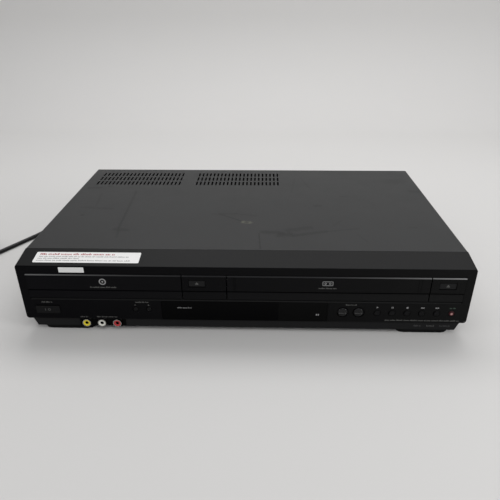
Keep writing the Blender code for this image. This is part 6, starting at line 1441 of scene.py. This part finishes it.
# The disc loader: a black moulded frame, the black tray that slides in it on its rack, and a
# white gear that drives the rack. Worn lines on the tray show where discs have lain.
WORN_RADII = (0.0395, 0.0592)
WORN_WIDTH = 0.0012
WORN_SHARE = 0.5
WORN_GREY = (0.07, 0.07, 0.07)
finish(
    "frame_black", (0.020, 0.020, 0.021), 0.48, "loader_frame", "disc_turntable",
    grain_size=0.0007, patch_size=0.03,
)
tray_black = finish(
    "tray_black", (0.026, 0.026, 0.027), 0.40, "disc_tray", grain=0.08, grain_size=0.0004,
    patch=0.06, bump=0.00001,
)
hub = Vector((middle_of("disc_tray").x, middle_of("disc_clamp").y, 0))
radius = from_axis(tray_black.node_tree, hub, (1, 1, 0))
for spot in WORN_RADII:
    worn = (1.0 - abs(radius - spot) / WORN_WIDTH).clipped()
    add_mask(tray_black, worn * WORN_SHARE, WORN_GREY)
finish(
    "gear_white", (0.62, 0.61, 0.56), 0.42, "tray_gear", "pinch_roller_arm", grain=0.03,
    patch=0.06, patch_size=0.01, bump=0.000004,
)

# The clamp: a plated steel bridge over the tray, and a white clamp that hangs in it and holds
# the disc on the turntable by its magnet.
MAGNET_CAP = ((0.0046, -0.0002), (0.0046, 0.0003), (0.0034, 0.0005), (0.0014, 0.0005))
MAGNET_SIDES = 32
bright_zinc = zinc(
    "bright_zinc", (0.55, 0.56, 0.57), 0.30, 0.004, 0.06, "clamp_bridge", "deck_brackets"
)
finish(
    "clamp_white", (0.60, 0.59, 0.55), 0.45, "disc_clamp", grain=0.04, patch=0.08,
    patch_size=0.02, bump=0.000006,
)
work = bmesh.new()
clamp_top = Matrix.Translation((hub.x, hub.y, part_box("disc_clamp")[1].z))
spun(work, MAGNET_CAP, MAGNET_SIDES, clamp_top)
piece("magnet_cap", work, bright_zinc, "clamp")

# The traverse: a grey moulded plate hinged at its back, with the spindle motor, the turntable
# with its rubber ring, two ground rods, and the pickup that slides on them with its lens.
LENS_IN = 0.0066
LENS_SINK = 0.0002
LENS = ((0.0019, -0.0004), (0.0017, 0.0000), (0.0010, 0.0004), (0, 0.0005))
LENS_SIDES = 24
finish(
    "traverse_grey", (0.075, 0.076, 0.078), 0.50, "loader_traverse", grain=0.08, patch=0.08,
    patch_size=0.02, bump=0.00001,
)
finish(
    "pickup_metal", (0.24, 0.24, 0.25), 0.38, "optical_pickup", metallic=0.8, grain=0.15,
    grain_size=0.0003, patch_size=0.008, bump=0.00001,
)
lens_glass = finish(
    "lens_glass", (0.10, 0.16, 0.30), 0.04, grain=0.0, patch=0.0, bump=0.0, coat_weight=1.0
)
joints = {joint["name"]: joint for joint in frame["joints"]}
slide_way = Vector(joints["pickup_slide"]["axis"])
lift_way = Vector((0, -slide_way.z, slide_way.y))
low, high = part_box("optical_pickup")
lens_spot = Vector((hub.x, low.y + LENS_IN, high.z - LENS_SINK))
work = bmesh.new()
spun(work, LENS, LENS_SIDES, facing(lens_spot, lift_way))
piece("pickup_lens", work, lens_glass, "pickup")

# The tape deck: a pressed steel plate with the fixed lower drum, the spinning head drum with
# its fine grooves, two reel tables, the capstan, the pinch roller on its arm, and the heads.
DRUM_SIDE = 0.0305
DRUM_TOP = 0.0127
GROOVE_PITCH = 0.0013
GROOVE_HALF = 0.00012
GROOVE_GREY = (0.20, 0.20, 0.21)
DRUM_SCREW_X = 0.0075
DRUM_SCREW = (
    (0.0017, -0.0003), (0.0017, 0.0006), (0.0013, 0.0009), (0.0006, 0.0009), (0.0004, 0.0005),
)
POST_SIDES = 20
DECK_FACE = 0.0232
GUIDE_SPOTS = ((0.0425, 0.0460), (0.0290, 0.0340), (0.1030, 0.0290))
GUIDE = (
    (0.0030, -0.0002), (0.0030, 0.0008), (0.0012, 0.0012), (0.0012, 0.0030), (0.0024, 0.0031),
    (0.0024, 0.0040), (0.0017, 0.0042), (0.0017, 0.0160), (0.0024, 0.0162), (0.0024, 0.0172),
    (0.0008, 0.0180), (0.0008, 0.0190),
)
DECK_SCREW_X = (-0.0160, 0.0250, 0.1340, 0.1740)
DECK_SCREW_Y = 0.0900
zinc("deck_steel", (0.48, 0.48, 0.49), 0.34, 0.005, 0.05, "deck_chassis")
drum_alloy = finish(
    "drum_alloy", (0.66, 0.66, 0.67), 0.20, "lower_drum", "head_drum", metallic=1,
    grain_size=0.0006, patch=0.03, stretch=(0.03, 0.03, 1), bump=0.000004,
)
finish(
    "reel_black", (0.022, 0.022, 0.024), 0.45, "supply_reel", "takeup_reel", grain=0.06,
    patch=0.06, patch_size=0.02, bump=0.00001,
)
capstan_steel = finish(
    "capstan_steel", (0.50, 0.50, 0.51), 0.25, "capstan", metallic=1, bump=0.000003
)
finish(
    "roller_rubber", (0.020, 0.019, 0.018), 0.65, "pinch_roller", grain=0.06, patch_size=0.01,
    bump=0.00001,
)
finish(
    "head_metal", (0.45, 0.44, 0.42), 0.22, "sound_head", metallic=1, grain=0.06, patch=0.06,
    patch_size=0.006, bump=0.000003,
)
drum_way = Vector(joints["head_drum_spin"]["axis"])
drum_spot = Vector(joints["head_drum_spin"]["pos_m"])
off = place_in(drum_alloy.node_tree) - drum_spot
level = off.work("DOT_PRODUCT", drum_way).work("PINGPONG", GROOVE_PITCH)
on_side = off.work("CROSS_PRODUCT", drum_way).work("LENGTH") > DRUM_SIDE
add_mask(drum_alloy, (level < GROOVE_HALF) * on_side, GROOVE_GREY)
work = bmesh.new()
for side in (-1, 1):
    spot = drum_spot + drum_way * DRUM_TOP + Vector((side * DRUM_SCREW_X, 0, 0))
    spun(work, DRUM_SCREW, POST_SIDES, facing(spot, drum_way))
piece("drum_screws", work, nickel, "drum")
work = bmesh.new()
for spot in GUIDE_SPOTS:
    spun(work, GUIDE, POST_SIDES, Matrix.Translation((*spot, DECK_FACE)))
piece("tape_guides", work, capstan_steel)
deck_screws = [((x, DECK_SCREW_Y, DECK_FACE), (0, 0, 1)) for x in DECK_SCREW_X]
screw_heads("deck_screws", deck_screws, nickel)

# The cassette cage: a plated steel holder with side pins in the slots of a moulded carriage,
# which runs in the two side brackets.
zinc("cage_steel", (0.40, 0.41, 0.42), 0.32, 0.005, 0.08, "cassette_holder")
finish(
    "carriage_grey", (0.035, 0.035, 0.037), 0.50, "holder_carriage", grain=0.08, patch=0.08,
    patch_size=0.03, bump=0.00001,
)
